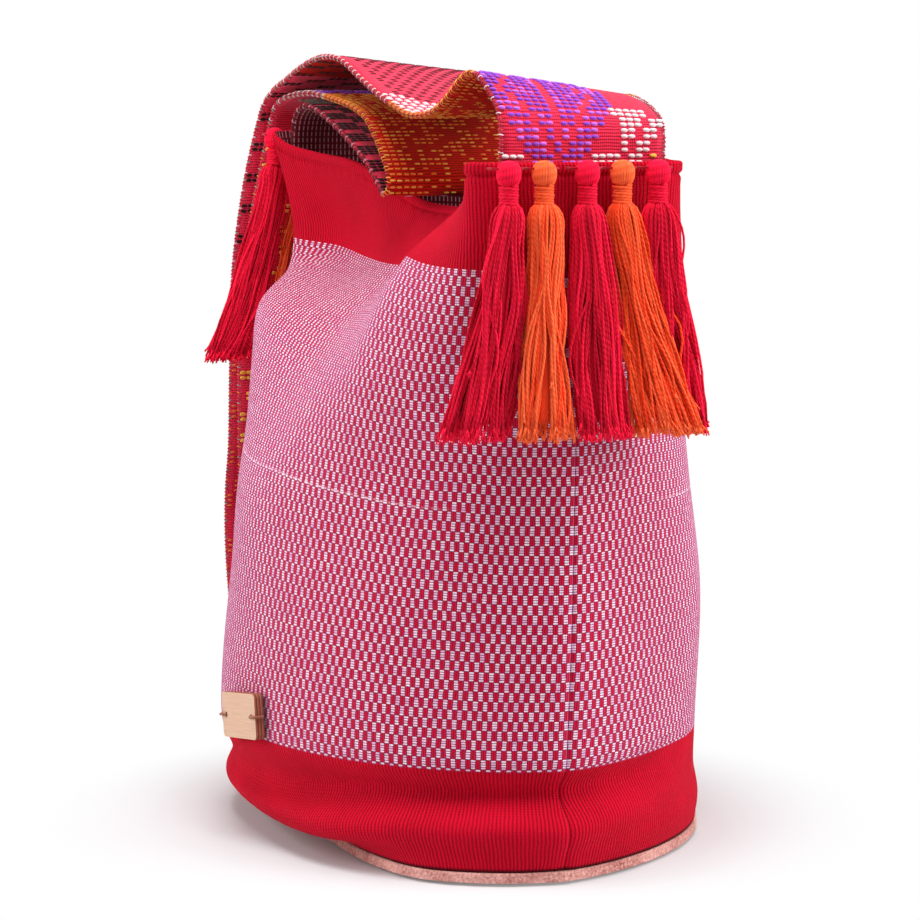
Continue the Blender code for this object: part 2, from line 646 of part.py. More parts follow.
def tag_thread(name, end, look):
    """The thread that holds one end of the tag: through its hole and round the end."""
    middle, along, up, out = tag_frame()
    thick = TAG_THREAD / 2
    hole = TAG_LENGTH / 2 - TAG_HOLE_INSET
    edge = TAG_LENGTH / 2 + thick + GAP
    face = TAG_THICKNESS + thick + GAP
    bend = thick
    start = 2 * GAP
    route = [(hole, start), (hole, face - bend), (hole + bend, face), (edge - bend, face),
             (edge, face - bend), (edge, start)]
    points = [middle + along * end * x + out * y for x, y in route]
    return tube(name, points, thick, 6, look)


def main():
    clear_scene()
    looks = {
        "cloth": material("woven_cotton_red", (0.62, 0.006, 0.035), 0.85),
        "strap": material("woven_strap", (0.58, 0.02, 0.03), 0.85),
        "sole": material("suede", (0.55, 0.26, 0.20), 0.9),
        "wood": material("birch_plywood", (0.72, 0.52, 0.34), 0.6),
        "red": material("cotton_yarn_red", (0.70, 0.0, 0.04), 0.75),
        "orange": material("cotton_yarn_orange", (0.95, 0.16, 0.02), 0.75),
        "binding_red": material("binding_yarn_red", (0.74, 0.02, 0.05), 0.7),
        "binding_orange": material("binding_yarn_orange", (0.95, 0.22, 0.04), 0.7),
        "thread": material("sewing_thread", (0.35, 0.12, 0.08), 0.7)}
    panel("front_panel", FRONT, looks["cloth"])
    panel("back_panel", BACK, looks["cloth"])
    sole(looks["sole"])
    strap(looks["strap"])
    for end in (1, -1):
        for order, row in enumerate(TASSEL_ROWS[end]):
            tassel(end, order, row, looks)
    tag(looks["wood"])
    tag_thread("tag_thread_left", -1, looks["thread"])
    tag_thread("tag_thread_right", 1, looks["thread"])


main()
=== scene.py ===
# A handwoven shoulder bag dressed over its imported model: checked and ribbed cloth panels, a
# brocaded strap, yarn tassels, a suede sole and a wooden tag. Metres, +Z up, tassel end at +X.
import json
import math
import random

import bmesh
import bpy
import numpy as np
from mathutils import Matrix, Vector


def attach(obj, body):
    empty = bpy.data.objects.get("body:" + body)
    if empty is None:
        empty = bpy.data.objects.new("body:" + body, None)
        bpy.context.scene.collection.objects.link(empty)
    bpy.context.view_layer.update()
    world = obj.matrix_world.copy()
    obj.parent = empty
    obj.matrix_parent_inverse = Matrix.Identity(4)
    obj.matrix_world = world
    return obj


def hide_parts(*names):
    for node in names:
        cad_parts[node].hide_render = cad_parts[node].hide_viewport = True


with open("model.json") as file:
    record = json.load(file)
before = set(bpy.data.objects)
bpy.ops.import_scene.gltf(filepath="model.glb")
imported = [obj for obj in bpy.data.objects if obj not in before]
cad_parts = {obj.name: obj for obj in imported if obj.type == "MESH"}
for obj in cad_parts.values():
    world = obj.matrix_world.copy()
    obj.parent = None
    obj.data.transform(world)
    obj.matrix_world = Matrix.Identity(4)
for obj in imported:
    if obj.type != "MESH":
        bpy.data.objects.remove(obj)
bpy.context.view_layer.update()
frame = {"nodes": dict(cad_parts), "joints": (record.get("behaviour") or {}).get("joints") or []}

MM = 0.001
nodes = frame["nodes"]

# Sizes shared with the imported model
HALF_LENGTH = 0.1385
HALF_DEPTH = 0.1015
BODY_HEIGHT = 0.300
BACK_DEPTH_SHARE = 0.95
LOW_BAND_TOP = 0.048
BAND_FOOT = 0.257
SEAM_PINCH = 0.016
SEAM_LEAN = 0.007
CLOTH_THICKNESS = 0.002
HALF_END = 0.043
FOOT_HEIGHT = 0.006
STRAP_WIDTH = 0.074
STRAP_THICKNESS = 0.002
FRONT = -1
BACK = 1

# Cloth as woven
PANEL_WIDTH = 0.374
CHECK_PITCH = 4.3 * MM
CHECK_ROW = 4.1 * MM
RIB_PITCH = 1.65 * MM
BEAD_PITCH = 0.9 * MM
STRAP_RIB_PITCH = 1.3 * MM
SLIPPED_ROW = 0.1566


def linear(code):
    """An sRGB hex colour as linear RGBA."""
    parts = [int(code[k:k + 2], 16) / 255 for k in (1, 3, 5)]
    return tuple(p / 12.92 if p <= 0.04045 else ((p + 0.055) / 1.055) ** 2.4 for p in parts) + (1.0,)


def put(tree, kind, *inputs, sockets=None, **settings):
    """Add a shader node: its settings, then its inputs in order or by socket number.

    An input is a number, a hex colour, a socket, or a node, which stands for its first live output.
    """
    made = tree.nodes.new("ShaderNode" + kind)
    for key, value in settings.items():
        setattr(made, key, value)
    for place, value in {**dict(enumerate(inputs)), **(sockets or {})}.items():
        if value is None:
            continue
        if isinstance(value, bpy.types.Node):
            value = next(out for out in value.outputs if out.enabled)
        if isinstance(value, bpy.types.NodeSocket):
            tree.links.new(value, made.inputs[place])
        else:
            made.inputs[place].default_value = linear(value) if isinstance(value, str) else value
    return made


# Cotton and suede scatter so much that hardly any mirror reflection is left
FIBRE_SPECULAR = 0.08


def finish_look(colour, height, roughness, bump, sheen=0.0, sheen_tint="#FFFFFF"):
    """Close a material: colour and relief into its Principled shader, with fixed gloss values."""
    tree = colour.id_data
    shader = tree.nodes["Principled BSDF"]
    relief = put(tree, "Bump", sockets={0: 1.0, 1: bump, 3: height})
    tree.links.new(colour.outputs[2], shader.inputs["Base Color"])
    tree.links.new(relief.outputs[0], shader.inputs["Normal"])
    shader.inputs["Roughness"].default_value = roughness
    shader.inputs["Specular IOR Level"].default_value = FIBRE_SPECULAR
    shader.inputs["Sheen Weight"].default_value = sheen
    shader.inputs["Sheen Roughness"].default_value = 0.5
    shader.inputs["Sheen Tint"].default_value = linear(sheen_tint)


def new_tree(name):
    look = bpy.data.materials.new(name)
    look.use_nodes = True
    return look, look.node_tree


def cloth_lengths(tree, map_name="cloth"):
    """The cloth's own map, and the two lengths that it holds, in metres."""
    place = put(tree, "UVMap", uv_map=map_name)
    split = put(tree, "SeparateXYZ", place)
    return place, split.outputs[0], split.outputs[1]


def off_middle(tree, value):
    """How far a value lies from the middle of its whole step: 0 there, and 0.5 at both its ends."""
    part = put(tree, "Math", value, operation="FRACT")
    return put(tree, "Math", put(tree, "Math", part, 0.5, operation="SUBTRACT"), operation="ABSOLUTE")


def woven_check():
    """Cotton cloth with weft floats: white cells of four short bars between crimson cells."""
    look, tree = new_tree("woven_cotton_check")
    place, across, up = cloth_lengths(tree)
    rows = put(tree, "Math", up, CHECK_ROW, operation="DIVIDE")
    row = put(tree, "Math", rows, operation="FLOOR")
    odd = put(tree, "Math", row, 2.0, operation="MODULO")
    # Threads wander by a fraction of a millimetre
    wander = put(tree, "TexNoise", place, None, 300.0, noise_dimensions="2D")
    drift = put(tree, "Math", wander, 0.5, operation="SUBTRACT")
    columns = put(tree, "Math", across, CHECK_PITCH, operation="DIVIDE")
    shifted = put(tree, "Math", odd, 0.5, columns, operation="MULTIPLY_ADD")
    shaken = put(tree, "Math", drift, 0.16, shifted, operation="MULTIPLY_ADD")
    column = put(tree, "Math", shaken, operation="FRACT")
    aside = put(tree, "Math", column, 0.25, operation="SUBTRACT")
    from_middle = put(tree, "Math", aside, operation="ABSOLUTE")
    # Four bars to a cell, each rounded at its ends
    bar_rows = put(tree, "Math", rows, 4.0, operation="MULTIPLY")
    bar_off = off_middle(tree, bar_rows)
    bar = put(tree, "MapRange", bar_off, 0.20, 0.48, 1.0, 0.0, interpolation_type="SMOOTHSTEP")
    rounded = put(tree, "Math", bar_off, bar_off, operation="MULTIPLY")
    from_middle = put(tree, "Math", rounded, 0.22, from_middle, operation="MULTIPLY_ADD")
    float_mask = put(tree, "MapRange", from_middle, 0.205, 0.245, 1.0, 0.0, interpolation_type="SMOOTHSTEP")
    row_gap = put(tree, "MapRange", off_middle(tree, rows), 0.42, 0.50, 0.0, 0.8,
                  interpolation_type="SMOOTHSTEP")
    # Each bar's whiteness varies from thread to thread
    bar_row = put(tree, "Math", bar_rows, operation="FLOOR")
    cell = put(tree, "Math", shaken, operation="FLOOR")
    key = put(tree, "CombineXYZ", cell, bar_row, 0.0)
    chance = put(tree, "TexWhiteNoise", key, noise_dimensions="2D")
    white = put(tree, "Mix", data_type="RGBA", sockets={0: chance, 6: "#FBE6F2", 7: "#E2B0D2"})
    float_look = put(tree, "Mix", data_type="RGBA", sockets={0: bar, 6: "#8A2E62", 7: white})
    rib_off = off_middle(tree, put(tree, "Math", column, 4.0, operation="MULTIPLY"))
    rib = put(tree, "MapRange", rib_off, 0.10, 0.50, 1.0, 0.0, interpolation_type="SMOOTHSTEP")
    ground = put(tree, "Mix", data_type="RGBA", sockets={0: rib, 6: "#840020", 7: "#C80834"})
    darker = put(tree, "Mix", data_type="RGBA", sockets={0: row_gap, 6: ground, 7: "#6E001C"})
    cloth = put(tree, "Mix", data_type="RGBA", sockets={0: float_mask, 6: darker, 7: float_look})
    # One mispicked row, where white thread runs on here and there between the cells
    off_row = put(tree, "Math", up, SLIPPED_ROW, operation="SUBTRACT")
    off_row = put(tree, "Math", off_row, operation="ABSOLUTE")
    slip = put(tree, "MapRange", off_row, 0.15 * MM, 0.55 * MM, 0.6, 0.0)
    patchy = put(tree, "MapRange", wander, 0.44, 0.56, 0.0, 1.0)
    inside = put(tree, "MapRange", across, 0.05, 0.09, 0.0, 1.0)
    slipped = put(tree, "Math", slip, patchy, operation="MULTIPLY")
    slipped = put(tree, "Math", slipped, inside, operation="MULTIPLY")
    cloth = put(tree, "Mix", data_type="RGBA", sockets={0: slipped, 6: cloth, 7: "#FFF0F6"})
    bar_height = put(tree, "Math", bar, 0.5, 0.5, operation="MULTIPLY_ADD")
    raised = put(tree, "Math", bar_height, float_mask, operation="MULTIPLY")
    height = put(tree, "Math", rib, 0.22, raised, operation="MULTIPLY_ADD")
    finish_look(cloth, height, 0.9, 0.45 * MM, sheen=0.32, sheen_tint="#F4BCFF")
    return look


def ribbed_band(name, light, dark, pitch, sheen_tint, along_ribs=True, sheen=0.3):
    """Warp-faced cotton: round ribs side by side, each broken into small beads by the weft.

    Where the ribs run up the wall, the cloth is painted darker along its seam with the sole: painted shade.
    """
    look, tree = new_tree(name)
    cloth, across, up = cloth_lengths(tree)
    if not along_ribs:
        across, up = up, across
    wander = put(tree, "TexNoise", cloth, None, 160.0, noise_dimensions="2D")
    drift = put(tree, "Math", wander, 0.5, operation="SUBTRACT")
    columns = put(tree, "Math", across, pitch, operation="DIVIDE")
    shaken = put(tree, "Math", drift, 0.5, columns, operation="MULTIPLY_ADD")
    rib = put(tree, "MapRange", off_middle(tree, shaken), 0.12, 0.50, 1.0, 0.0,
              interpolation_type="SMOOTHSTEP")
    bead_off = off_middle(tree, put(tree, "Math", up, BEAD_PITCH, operation="DIVIDE"))
    bead = put(tree, "MapRange", bead_off, 0.15, 0.50, 1.0, 0.0, interpolation_type="SMOOTHSTEP")
    depth = put(tree, "Math", bead, 0.3, rib, operation="MULTIPLY_ADD")
    share = put(tree, "MapRange", depth, 0.0, 1.3, 0.0, 1.0)
    patches = put(tree, "TexNoise", cloth, None, 26.0, 4.0, noise_dimensions="2D")
    tone_shift = put(tree, "MapRange", patches, 0.3, 0.7, -0.12, 0.12)
    share = put(tree, "Math", share, tone_shift, operation="ADD", use_clamp=True)
    colour = put(tree, "Mix", data_type="RGBA", sockets={0: share, 6: dark, 7: light})
    if along_ribs:
        # Painted shade: the cloth turns dark red-brown along its seam with the sole, where shade falls.
        foot = put(tree, "MapRange", up, FOOT_HEIGHT + 0.5 * MM, FOOT_HEIGHT + 1.8 * MM, 0.0, 1.0)
        colour = put(tree, "Mix", data_type="RGBA", sockets={0: foot, 6: "#4A0612", 7: colour})
    finish_look(colour, depth, 0.9, 0.3 * MM, sheen=sheen, sheen_tint=sheen_tint)
    return look


def shaded_cloth_reverse():
    """The inside of the check cloth: thin pale threads that run up it on a crimson ground, both painted much
    darker than the outside, as painted shade inside the bag.
    """
    look, tree = new_tree("woven_cotton_reverse_painted_shade")
    _, across, up = cloth_lengths(tree)
    off = off_middle(tree, put(tree, "Math", across, CHECK_PITCH / 2, operation="DIVIDE"))
    rows = put(tree, "Math", put(tree, "Math", up, 3.1 * MM, operation="DIVIDE"), operation="FRACT")
    dash = put(tree, "Math", rows, 0.72, operation="LESS_THAN")
    thread = put(tree, "MapRange", off, 0.09, 0.17, 1.0, 0.0, interpolation_type="SMOOTHSTEP")
    mask = put(tree, "Math", thread, dash, operation="MULTIPLY")
    # Painted shade: ground and threads are darker copies of the outer cloth's red and white.
    colour = put(tree, "Mix", data_type="RGBA", sockets={0: mask, 6: "#5E0414", 7: "#C08A94"})
    finish_look(colour, mask, 0.9, 0.3 * MM, sheen=0.1)
    return look


def yarn(name, light, dark, sheen_tint):
    """Two-ply cotton yarn, matt with a soft fuzz: the ply twist shows as slanting ridges."""
    look, tree = new_tree(name)
    _, around, down = cloth_lengths(tree, "yarn")
    turns = put(tree, "Math", down, 1 / (2.4 * MM), operation="MULTIPLY")
    shade = put(tree, "Attribute", attribute_name="shade").outputs["Fac"]
    phase = put(tree, "Math", shade, 37.0, turns, operation="MULTIPLY_ADD")
    twist = put(tree, "Math", around, 2.0, phase, operation="MULTIPLY_ADD")
    ply = put(tree, "MapRange", off_middle(tree, twist), 0.05, 0.5, 1.0, 0.0, interpolation_type="SMOOTHSTEP")
    # The shade attribute sets each part's tone: random from thread to thread, near the lightest on the heads
    # as a painted highlight, and darkest on the inner core as painted shade.
    tone_shift = put(tree, "Math", shade, 0.8, operation="MULTIPLY")
    share = put(tree, "Math", ply, 0.25, tone_shift, operation="MULTIPLY_ADD", use_clamp=True)
    colour = put(tree, "Mix", data_type="RGBA", sockets={0: share, 6: dark, 7: light})
    finish_look(colour, ply, 0.85, 0.15 * MM, sheen=0.15, sheen_tint=sheen_tint)
    return look


def suede():
    """Suede with its nap up: dull and mottled, with short fibres."""
    look, tree = new_tree("brushed_suede")
    place = put(tree, "TexCoord").outputs["Object"]
    nap = put(tree, "TexNoise", place, None, 900.0, 5.0)
    mottle = put(tree, "TexNoise", place, None, 60.0)
    both = put(tree, "Math", nap, 0.6, put(tree, "Math", mottle, 0.4, operation="MULTIPLY"),
               operation="MULTIPLY_ADD")
    share = put(tree, "MapRange", both, 0.35, 0.62, 0.0, 1.0)
    colour = put(tree, "Mix", data_type="RGBA", sockets={0: share, 6: "#A05852", 7: "#ECB2A8"})
    finish_look(colour, nap, 0.95, 0.5 * MM, sheen=0.3, sheen_tint="#FFD8C8")
    return look


def plywood(out, up):
    """Laser-cut birch plywood: pale sanded face with fine grain, edges burnt brown in layers."""
    look, tree = new_tree("laser_cut_birch_plywood")
    place = put(tree, "TexCoord")
    spot = place.outputs["Object"]
    facing = put(tree, "VectorMath", place.outputs["Normal"], tuple(out), operation="DOT_PRODUCT")
    face = put(tree, "Math", facing, 0.8, operation="GREATER_THAN")
    thick = put(tree, "VectorMath", spot, tuple(out), operation="DOT_PRODUCT")
    height = put(tree, "VectorMath", spot, tuple(up), operation="DOT_PRODUCT")
    along = put(tree, "VectorMath", spot, tuple(Vector(up).cross(Vector(out))), operation="DOT_PRODUCT")
    stretched = put(tree, "CombineXYZ", put(tree, "Math", along, 60.0, operation="MULTIPLY"),
                    put(tree, "Math", height, 1400.0, operation="MULTIPLY"), 0.0)
    grain = put(tree, "TexNoise", stretched, None, 1.0, 3.0)
    face_look = put(tree, "Mix", data_type="RGBA", sockets={0: grain, 6: "#C39A7E", 7: "#DDBCA4"})
    # Three veneers in 4.2 mm
    layers = put(tree, "Math", put(tree, "Math", thick, 1 / (1.4 * MM), operation="MULTIPLY"),
                 operation="FRACT")
    burnt = put(tree, "Mix", data_type="RGBA", sockets={0: layers, 6: "#5E2A1E", 7: "#B5705A"})
    colour = put(tree, "Mix", data_type="RGBA", sockets={0: face, 6: burnt, 7: face_look})
    finish_look(colour, grain, 0.6, 0.05 * MM)
    return look


def curve_through(points, steps):
    """Centripetal Catmull-Rom curve through the points, or through a whole row of columns at once."""
    pts = np.array(points, float)
    pts = np.concatenate([2 * pts[:1] - pts[1:2], pts, 2 * pts[-1:] - pts[-2:-1]])
    out = []
    for p0, p1, p2, p3 in zip(pts, pts[1:], pts[2:], pts[3:]):
        t0 = 0.0
        t1 = t0 + np.sqrt(np.linalg.norm(p1 - p0, axis=-1, keepdims=True))
        t2 = t1 + np.sqrt(np.linalg.norm(p2 - p1, axis=-1, keepdims=True))
        t3 = t2 + np.sqrt(np.linalg.norm(p3 - p2, axis=-1, keepdims=True))
        for k in range(steps):
            t = t1 + (t2 - t1) * k / steps
            a1 = (t1 - t) / (t1 - t0) * p0 + (t - t0) / (t1 - t0) * p1
            a2 = (t2 - t) / (t2 - t1) * p1 + (t - t1) / (t2 - t1) * p2
            a3 = (t3 - t) / (t3 - t2) * p2 + (t - t2) / (t3 - t2) * p3
            b1 = (t2 - t) / (t2 - t0) * a1 + (t - t0) / (t2 - t0) * a2
            b2 = (t3 - t) / (t3 - t1) * a2 + (t - t1) / (t3 - t1) * a3
            out.append((t2 - t) / (t2 - t1) * b1 + (t - t1) / (t2 - t1) * b2)
    out.append(pts[-2])
    return np.array(out)


def along_line(points):
    steps = np.linalg.norm(np.diff(points, axis=0), axis=1)
    return np.concatenate([[0.0], np.cumsum(steps)])


def evenly(points, count):
    """Resample a polyline to count equal steps along its length."""
    along = along_line(points)
    wanted = np.linspace(0.0, along[-1], count + 1)
    return np.stack([np.interp(wanted, along, points[:, k]) for k in range(3)], axis=1)


def seam_place(height):
    """How far the seam at the tassel end stands to the side: it leans, most at the foot."""
    return -SEAM_LEAN * (1 - height / BODY_HEIGHT)


def oval(side, length_share, depth_share, height):
    """Half of the body's plan from the +X seam to the -X seam, with a slight corner at each."""
    turn = np.linspace(0, math.pi, 121)
    pinch = SEAM_PINCH * np.sin(turn) * np.abs(np.cos(turn))
    x = np.cos(turn) * (HALF_LENGTH * length_share - pinch)
    y = side * HALF_DEPTH * depth_share * np.sin(turn) + seam_place(height) * np.maximum(np.cos(turn), 0) ** 4
    return np.stack([x, y, np.full(len(turn), height)], axis=1)


def drawn(points):
    """A level line from plan points: shares of half length, then metres."""
    return curve_through([(HALF_LENGTH * x, y, z) for x, y, z in points], 16)


def front_levels():
    """Level lines of the front panel from foot to rim, which falls inwards near its middle."""
    depth = HALF_DEPTH
    end = HALF_END
    rim = BODY_HEIGHT
    band = BAND_FOOT
    shoulder = 0.2151
    foot = FOOT_HEIGHT
    foot_line = [
        (0.99, seam_place(foot), foot), (0.945, -0.32 * depth, foot), (0.80, -0.60 * depth, foot),
        (0.56, -0.71 * depth, foot), (0.25, -0.73 * depth, foot), (-0.08, -0.73 * depth, foot),
        (-0.40, -0.71 * depth, foot), (-0.70, -0.59 * depth, foot),
        (-0.91, -0.35 * depth, foot), (-0.985, 0.0, foot)]
    rim_line = [
        (1.004, 0.0, rim), (1.004, -0.35 * end, rim), (1.004, -0.68 * end, rim), (0.995, -0.96 * end, rim),
        (0.945, -1.13 * end, rim), (0.83, -0.38 * depth, rim - 0.003),
        (0.62, -0.24 * depth, rim - 0.012), (0.33, -0.09 * depth, rim - 0.020),
        (0.0, -0.155 * depth, rim - 0.020), (-0.24, -0.24 * depth, rim - 0.010),
        (-0.47, -0.29 * depth, rim - 0.003), (-0.76, -0.335 * depth, rim),
        (-0.90, -0.97 * end, rim + 0.004), (-0.965, -1.04 * end, rim + 0.009),
        (-0.993, -0.80 * end, rim + 0.010), (-0.993, -0.4 * end, rim + 0.010),
        (-0.993, 0.0, rim + 0.010)]
    band_line = [
        (1.007, seam_place(band), band), (0.995, -0.28 * depth, band), (0.94, -0.49 * depth, band + 0.001),
        (0.76, -0.555 * depth, band + 0.002), (0.57, -0.545 * depth, band + 0.004),
        (0.37, -0.43 * depth, band + 0.001), (0.16, -0.345 * depth, band - 0.003),
        (-0.05, -0.32 * depth, band - 0.004), (-0.36, -0.27 * depth, band - 0.003),
        (-0.69, -0.25 * depth, band), (-0.91, -0.365 * depth, band + 0.003),
        (-0.965, -0.24 * depth, band + 0.005), (-0.977, 0.0, band + 0.005)]
    shoulder_line = [
        (1.003, seam_place(shoulder), shoulder), (0.965, -0.30 * depth, shoulder),
        (0.82, -0.58 * depth, shoulder), (0.58, -0.715 * depth, shoulder),
        (0.29, -0.705 * depth, shoulder), (0.0, -0.68 * depth, shoulder + 0.002),
        (-0.29, -0.67 * depth, shoulder + 0.006), (-0.61, -0.655 * depth, shoulder + 0.012),
        (-0.83, -0.56 * depth, shoulder + 0.015), (-0.975, -0.31 * depth, shoulder + 0.015),
        (-1.003, 0.0, shoulder + 0.012)]
    return [
        drawn(foot_line),
        oval(FRONT, 1.015, 1.03, 0.36 * LOW_BAND_TOP),
        oval(FRONT, 1.0, 1.03, 0.64 * LOW_BAND_TOP),
        oval(FRONT, 0.995, 1.05, LOW_BAND_TOP),
        oval(FRONT, 1.007, 1.005, 0.36 * BODY_HEIGHT),
        oval(FRONT, 1.003, 0.925, 0.55 * BODY_HEIGHT),
        drawn(shoulder_line), drawn(band_line), drawn(rim_line)]


def back_levels():
    """Level lines of the back panel from foot to rim. It stays round up to the mouth."""
    share = BACK_DEPTH_SHARE
    depth = HALF_DEPTH * share
    end = HALF_END
    rim = BODY_HEIGHT
    band = BAND_FOOT
    rim_line = [
        (1.004, 0.0, rim), (1.004, 0.35 * end, rim), (1.004, 0.74 * end, rim), (0.987, 1.02 * end, rim),
        (0.78, 0.56 * depth, rim), (0.42, 0.75 * depth, rim), (0.0, 0.84 * depth, rim + 0.002),
        (-0.42, 0.80 * depth, rim + 0.005), (-0.80, 0.64 * depth, rim + 0.008),
        (-0.975, 1.04 * end, rim + 0.009), (-0.993, 0.76 * end, rim + 0.010),
        (-0.993, 0.4 * end, rim + 0.010), (-0.993, 0.0, rim + 0.010)]
    band_line = [
        (1.007, seam_place(band), band), (0.992, 0.31 * depth, band), (0.93, 0.48 * depth, band),
        (0.76, 0.62 * depth, band), (0.42, 0.79 * depth, band), (0.0, 0.88 * depth, band + 0.001),
        (-0.42, 0.85 * depth, band + 0.002), (-0.77, 0.66 * depth, band + 0.004),
        (-0.96, 0.33 * depth, band + 0.005), (-0.977, 0.0, band + 0.005)]
    return [
        oval(BACK, 0.99, 1.06 * share, FOOT_HEIGHT),
        oval(BACK, 1.015, 1.07 * share, 0.36 * LOW_BAND_TOP),
        oval(BACK, 1.0, 1.05 * share, 0.64 * LOW_BAND_TOP),
        oval(BACK, 0.995, 1.055 * share, LOW_BAND_TOP),
        oval(BACK, 1.007, 1.06 * share, 0.36 * BODY_HEIGHT),
        oval(BACK, 1.003, 0.98 * share, 0.55 * BODY_HEIGHT),
        oval(BACK, 1.003, 0.93 * share, 0.717 * BODY_HEIGHT),
        drawn(band_line), drawn(rim_line)]


def grid_quads(rows, columns, wrap=False, flip=False):
    """Quads of a grid of points, numbered row by row; wrap closes each row on itself."""
    r, c = np.meshgrid(np.arange(rows - 1), np.arange(columns if wrap else columns - 1), indexing="ij")
    n = (c + 1) % columns
    quads = np.stack([r * columns + c, r * columns + n, (r + 1) * columns + n, (r + 1) * columns + c], -1)
    quads = quads.reshape(-1, 4)
    return quads[:, ::-1] if flip else quads


def set_up(name, data, place=(0, 0, 0), aim=None):
    """Put a new object into the scene, turned towards its aim."""
    made = bpy.data.objects.new(name, data)
    made.location = place
    if aim is not None:
        made.rotation_mode = "QUATERNION"
        made.rotation_quaternion = (aim - made.location).to_track_quat("-Z", "Y")
    bpy.context.scene.collection.objects.link(made)
    return made


def mesh_piece(name, points, faces, looks, body, face_look=None, maps=None, shade=None):
    """A piece of the object: world points, faces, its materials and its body."""
    mesh = bpy.data.meshes.new(name)
    mesh.from_pydata(np.asarray(points).tolist(), [], [list(map(int, f)) for f in faces])
    for look in looks:
        mesh.materials.append(look)
    if face_look is not None:
        mesh.polygons.foreach_set("material_index", np.asarray(face_look, np.int32))
    for map_name, values in (maps or {}).items():
        layer = mesh.uv_layers.new(name=map_name)
        corners = np.zeros(len(mesh.loops), np.int32)
        mesh.loops.foreach_get("vertex_index", corners)
        flat = values[corners] if len(values) == len(mesh.vertices) else values
        layer.data.foreach_set("uv", np.asarray(flat, np.float32).ravel())
    if shade is not None:
        layer = mesh.attributes.new("shade", "FLOAT", "POINT")
        layer.data.foreach_set("value", np.asarray(shade, np.float32))
    shell = bmesh.new()
    shell.from_mesh(mesh)
    bmesh.ops.recalc_face_normals(shell, faces=shell.faces)
    shell.to_mesh(mesh)
    shell.free()
    mesh.shade_smooth()
    made = set_up(name, mesh)
    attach(made, body)
    return made


def grid_normals(grid):
    across = np.gradient(grid, axis=1)
    up = np.gradient(grid, axis=0)
    normal = np.cross(across, up)
    return normal / np.linalg.norm(normal, axis=2, keepdims=True)


def hump(value, middle, spread):
    return np.exp(-((value - middle) / spread) ** 2)


def low_crease(v, rise):
    """The crease round the foot: a hollow under the check, over a roll that bulges out."""
    return -8.0 * MM * hump(v, 0.0385 + rise, 0.0070) + 3.4 * MM * hump(v, 0.0240 + rise, 0.0065)


def front_folds(u, v):
    """How far the front panel's soft folds stand out, in metres, by place along and up the cloth."""
    lift = -7.5 * MM * hump(u, 0.36 - 0.3 * (v - 0.28), 0.050) * np.clip((v - 0.245) / 0.02, 0, 1)
    lift += 0.8 * MM * np.sin(23 * u + 30 * v) * hump(v, 0.20, 0.06)
    lift += 0.7 * MM * np.sin(15 * u - 55 * v + 1.0) * hump(v, 0.12, 0.05)
    return lift, low_crease(v, -0.008 * u) * np.clip(1.5 - 1.7 * u, 0, 1)


def back_folds(u, v):
    """The back panel's soft folds: a crease low at the tassel end and slow waves above."""
    lift = -0.9 * MM * hump(v, 0.013 + 0.05 * u, 0.004) * np.clip(0.8 - 2.0 * u, 0, 1)
    lift += 1.3 * MM * np.sin(14 * u + 25 * v) * hump(v, 0.13, 0.09)
    lift += 0.9 * MM * np.sin(26 * u - 40 * v) * hump(v, 0.22, 0.05)
    return lift, low_crease(v, 0.030 * u) * np.clip(1.0 - 4.0 * u, 0, 1)


PANEL_COLUMNS = 200
BAND_ROWS = 28
CHECK_ROWS = 80
TOP_ROWS = 40
LEVEL_STEPS = 24
HEM_FOOT = 0.2963
ROLL_ANGLES = (30, 60, 90, 120, 150)


def panel_grid(side):
    """The outer face of a panel as a fine grid, with each row's place up the cloth."""
    levels = front_levels() if side == FRONT else back_levels()
    stack = np.array([evenly(line, PANEL_COLUMNS) for line in levels])
    fine = curve_through(stack, LEVEL_STEPS)
    steps = np.linalg.norm(np.diff(fine, axis=0), axis=2)
    along = np.concatenate([np.zeros((1, steps.shape[1])), np.cumsum(steps, axis=0)])
    spans = [(0, 3, FOOT_HEIGHT, LOW_BAND_TOP, BAND_ROWS), (3, 7, LOW_BAND_TOP, BAND_FOOT, CHECK_ROWS),
             (7, 8, BAND_FOOT, BODY_HEIGHT, TOP_ROWS)]
    rows = []
    places = []
    for first, last, low, high, count in spans:
        to_rim = high == BODY_HEIGHT
        for k in range(count + to_rim):
            share = k / count
            if to_rim:
                # Rows stand closer towards the hem
                share = 1 - (1 - share) ** 1.6
            wanted = along[first * LEVEL_STEPS] * (1 - share) + along[last * LEVEL_STEPS] * share
            row = [[np.interp(wanted[c], along[:, c], fine[:, c, axis]) for axis in range(3)]
                   for c in range(PANEL_COLUMNS + 1)]
            rows.append(row)
            places.append(low + (high - low) * share)
    return np.array(rows), np.array(places)


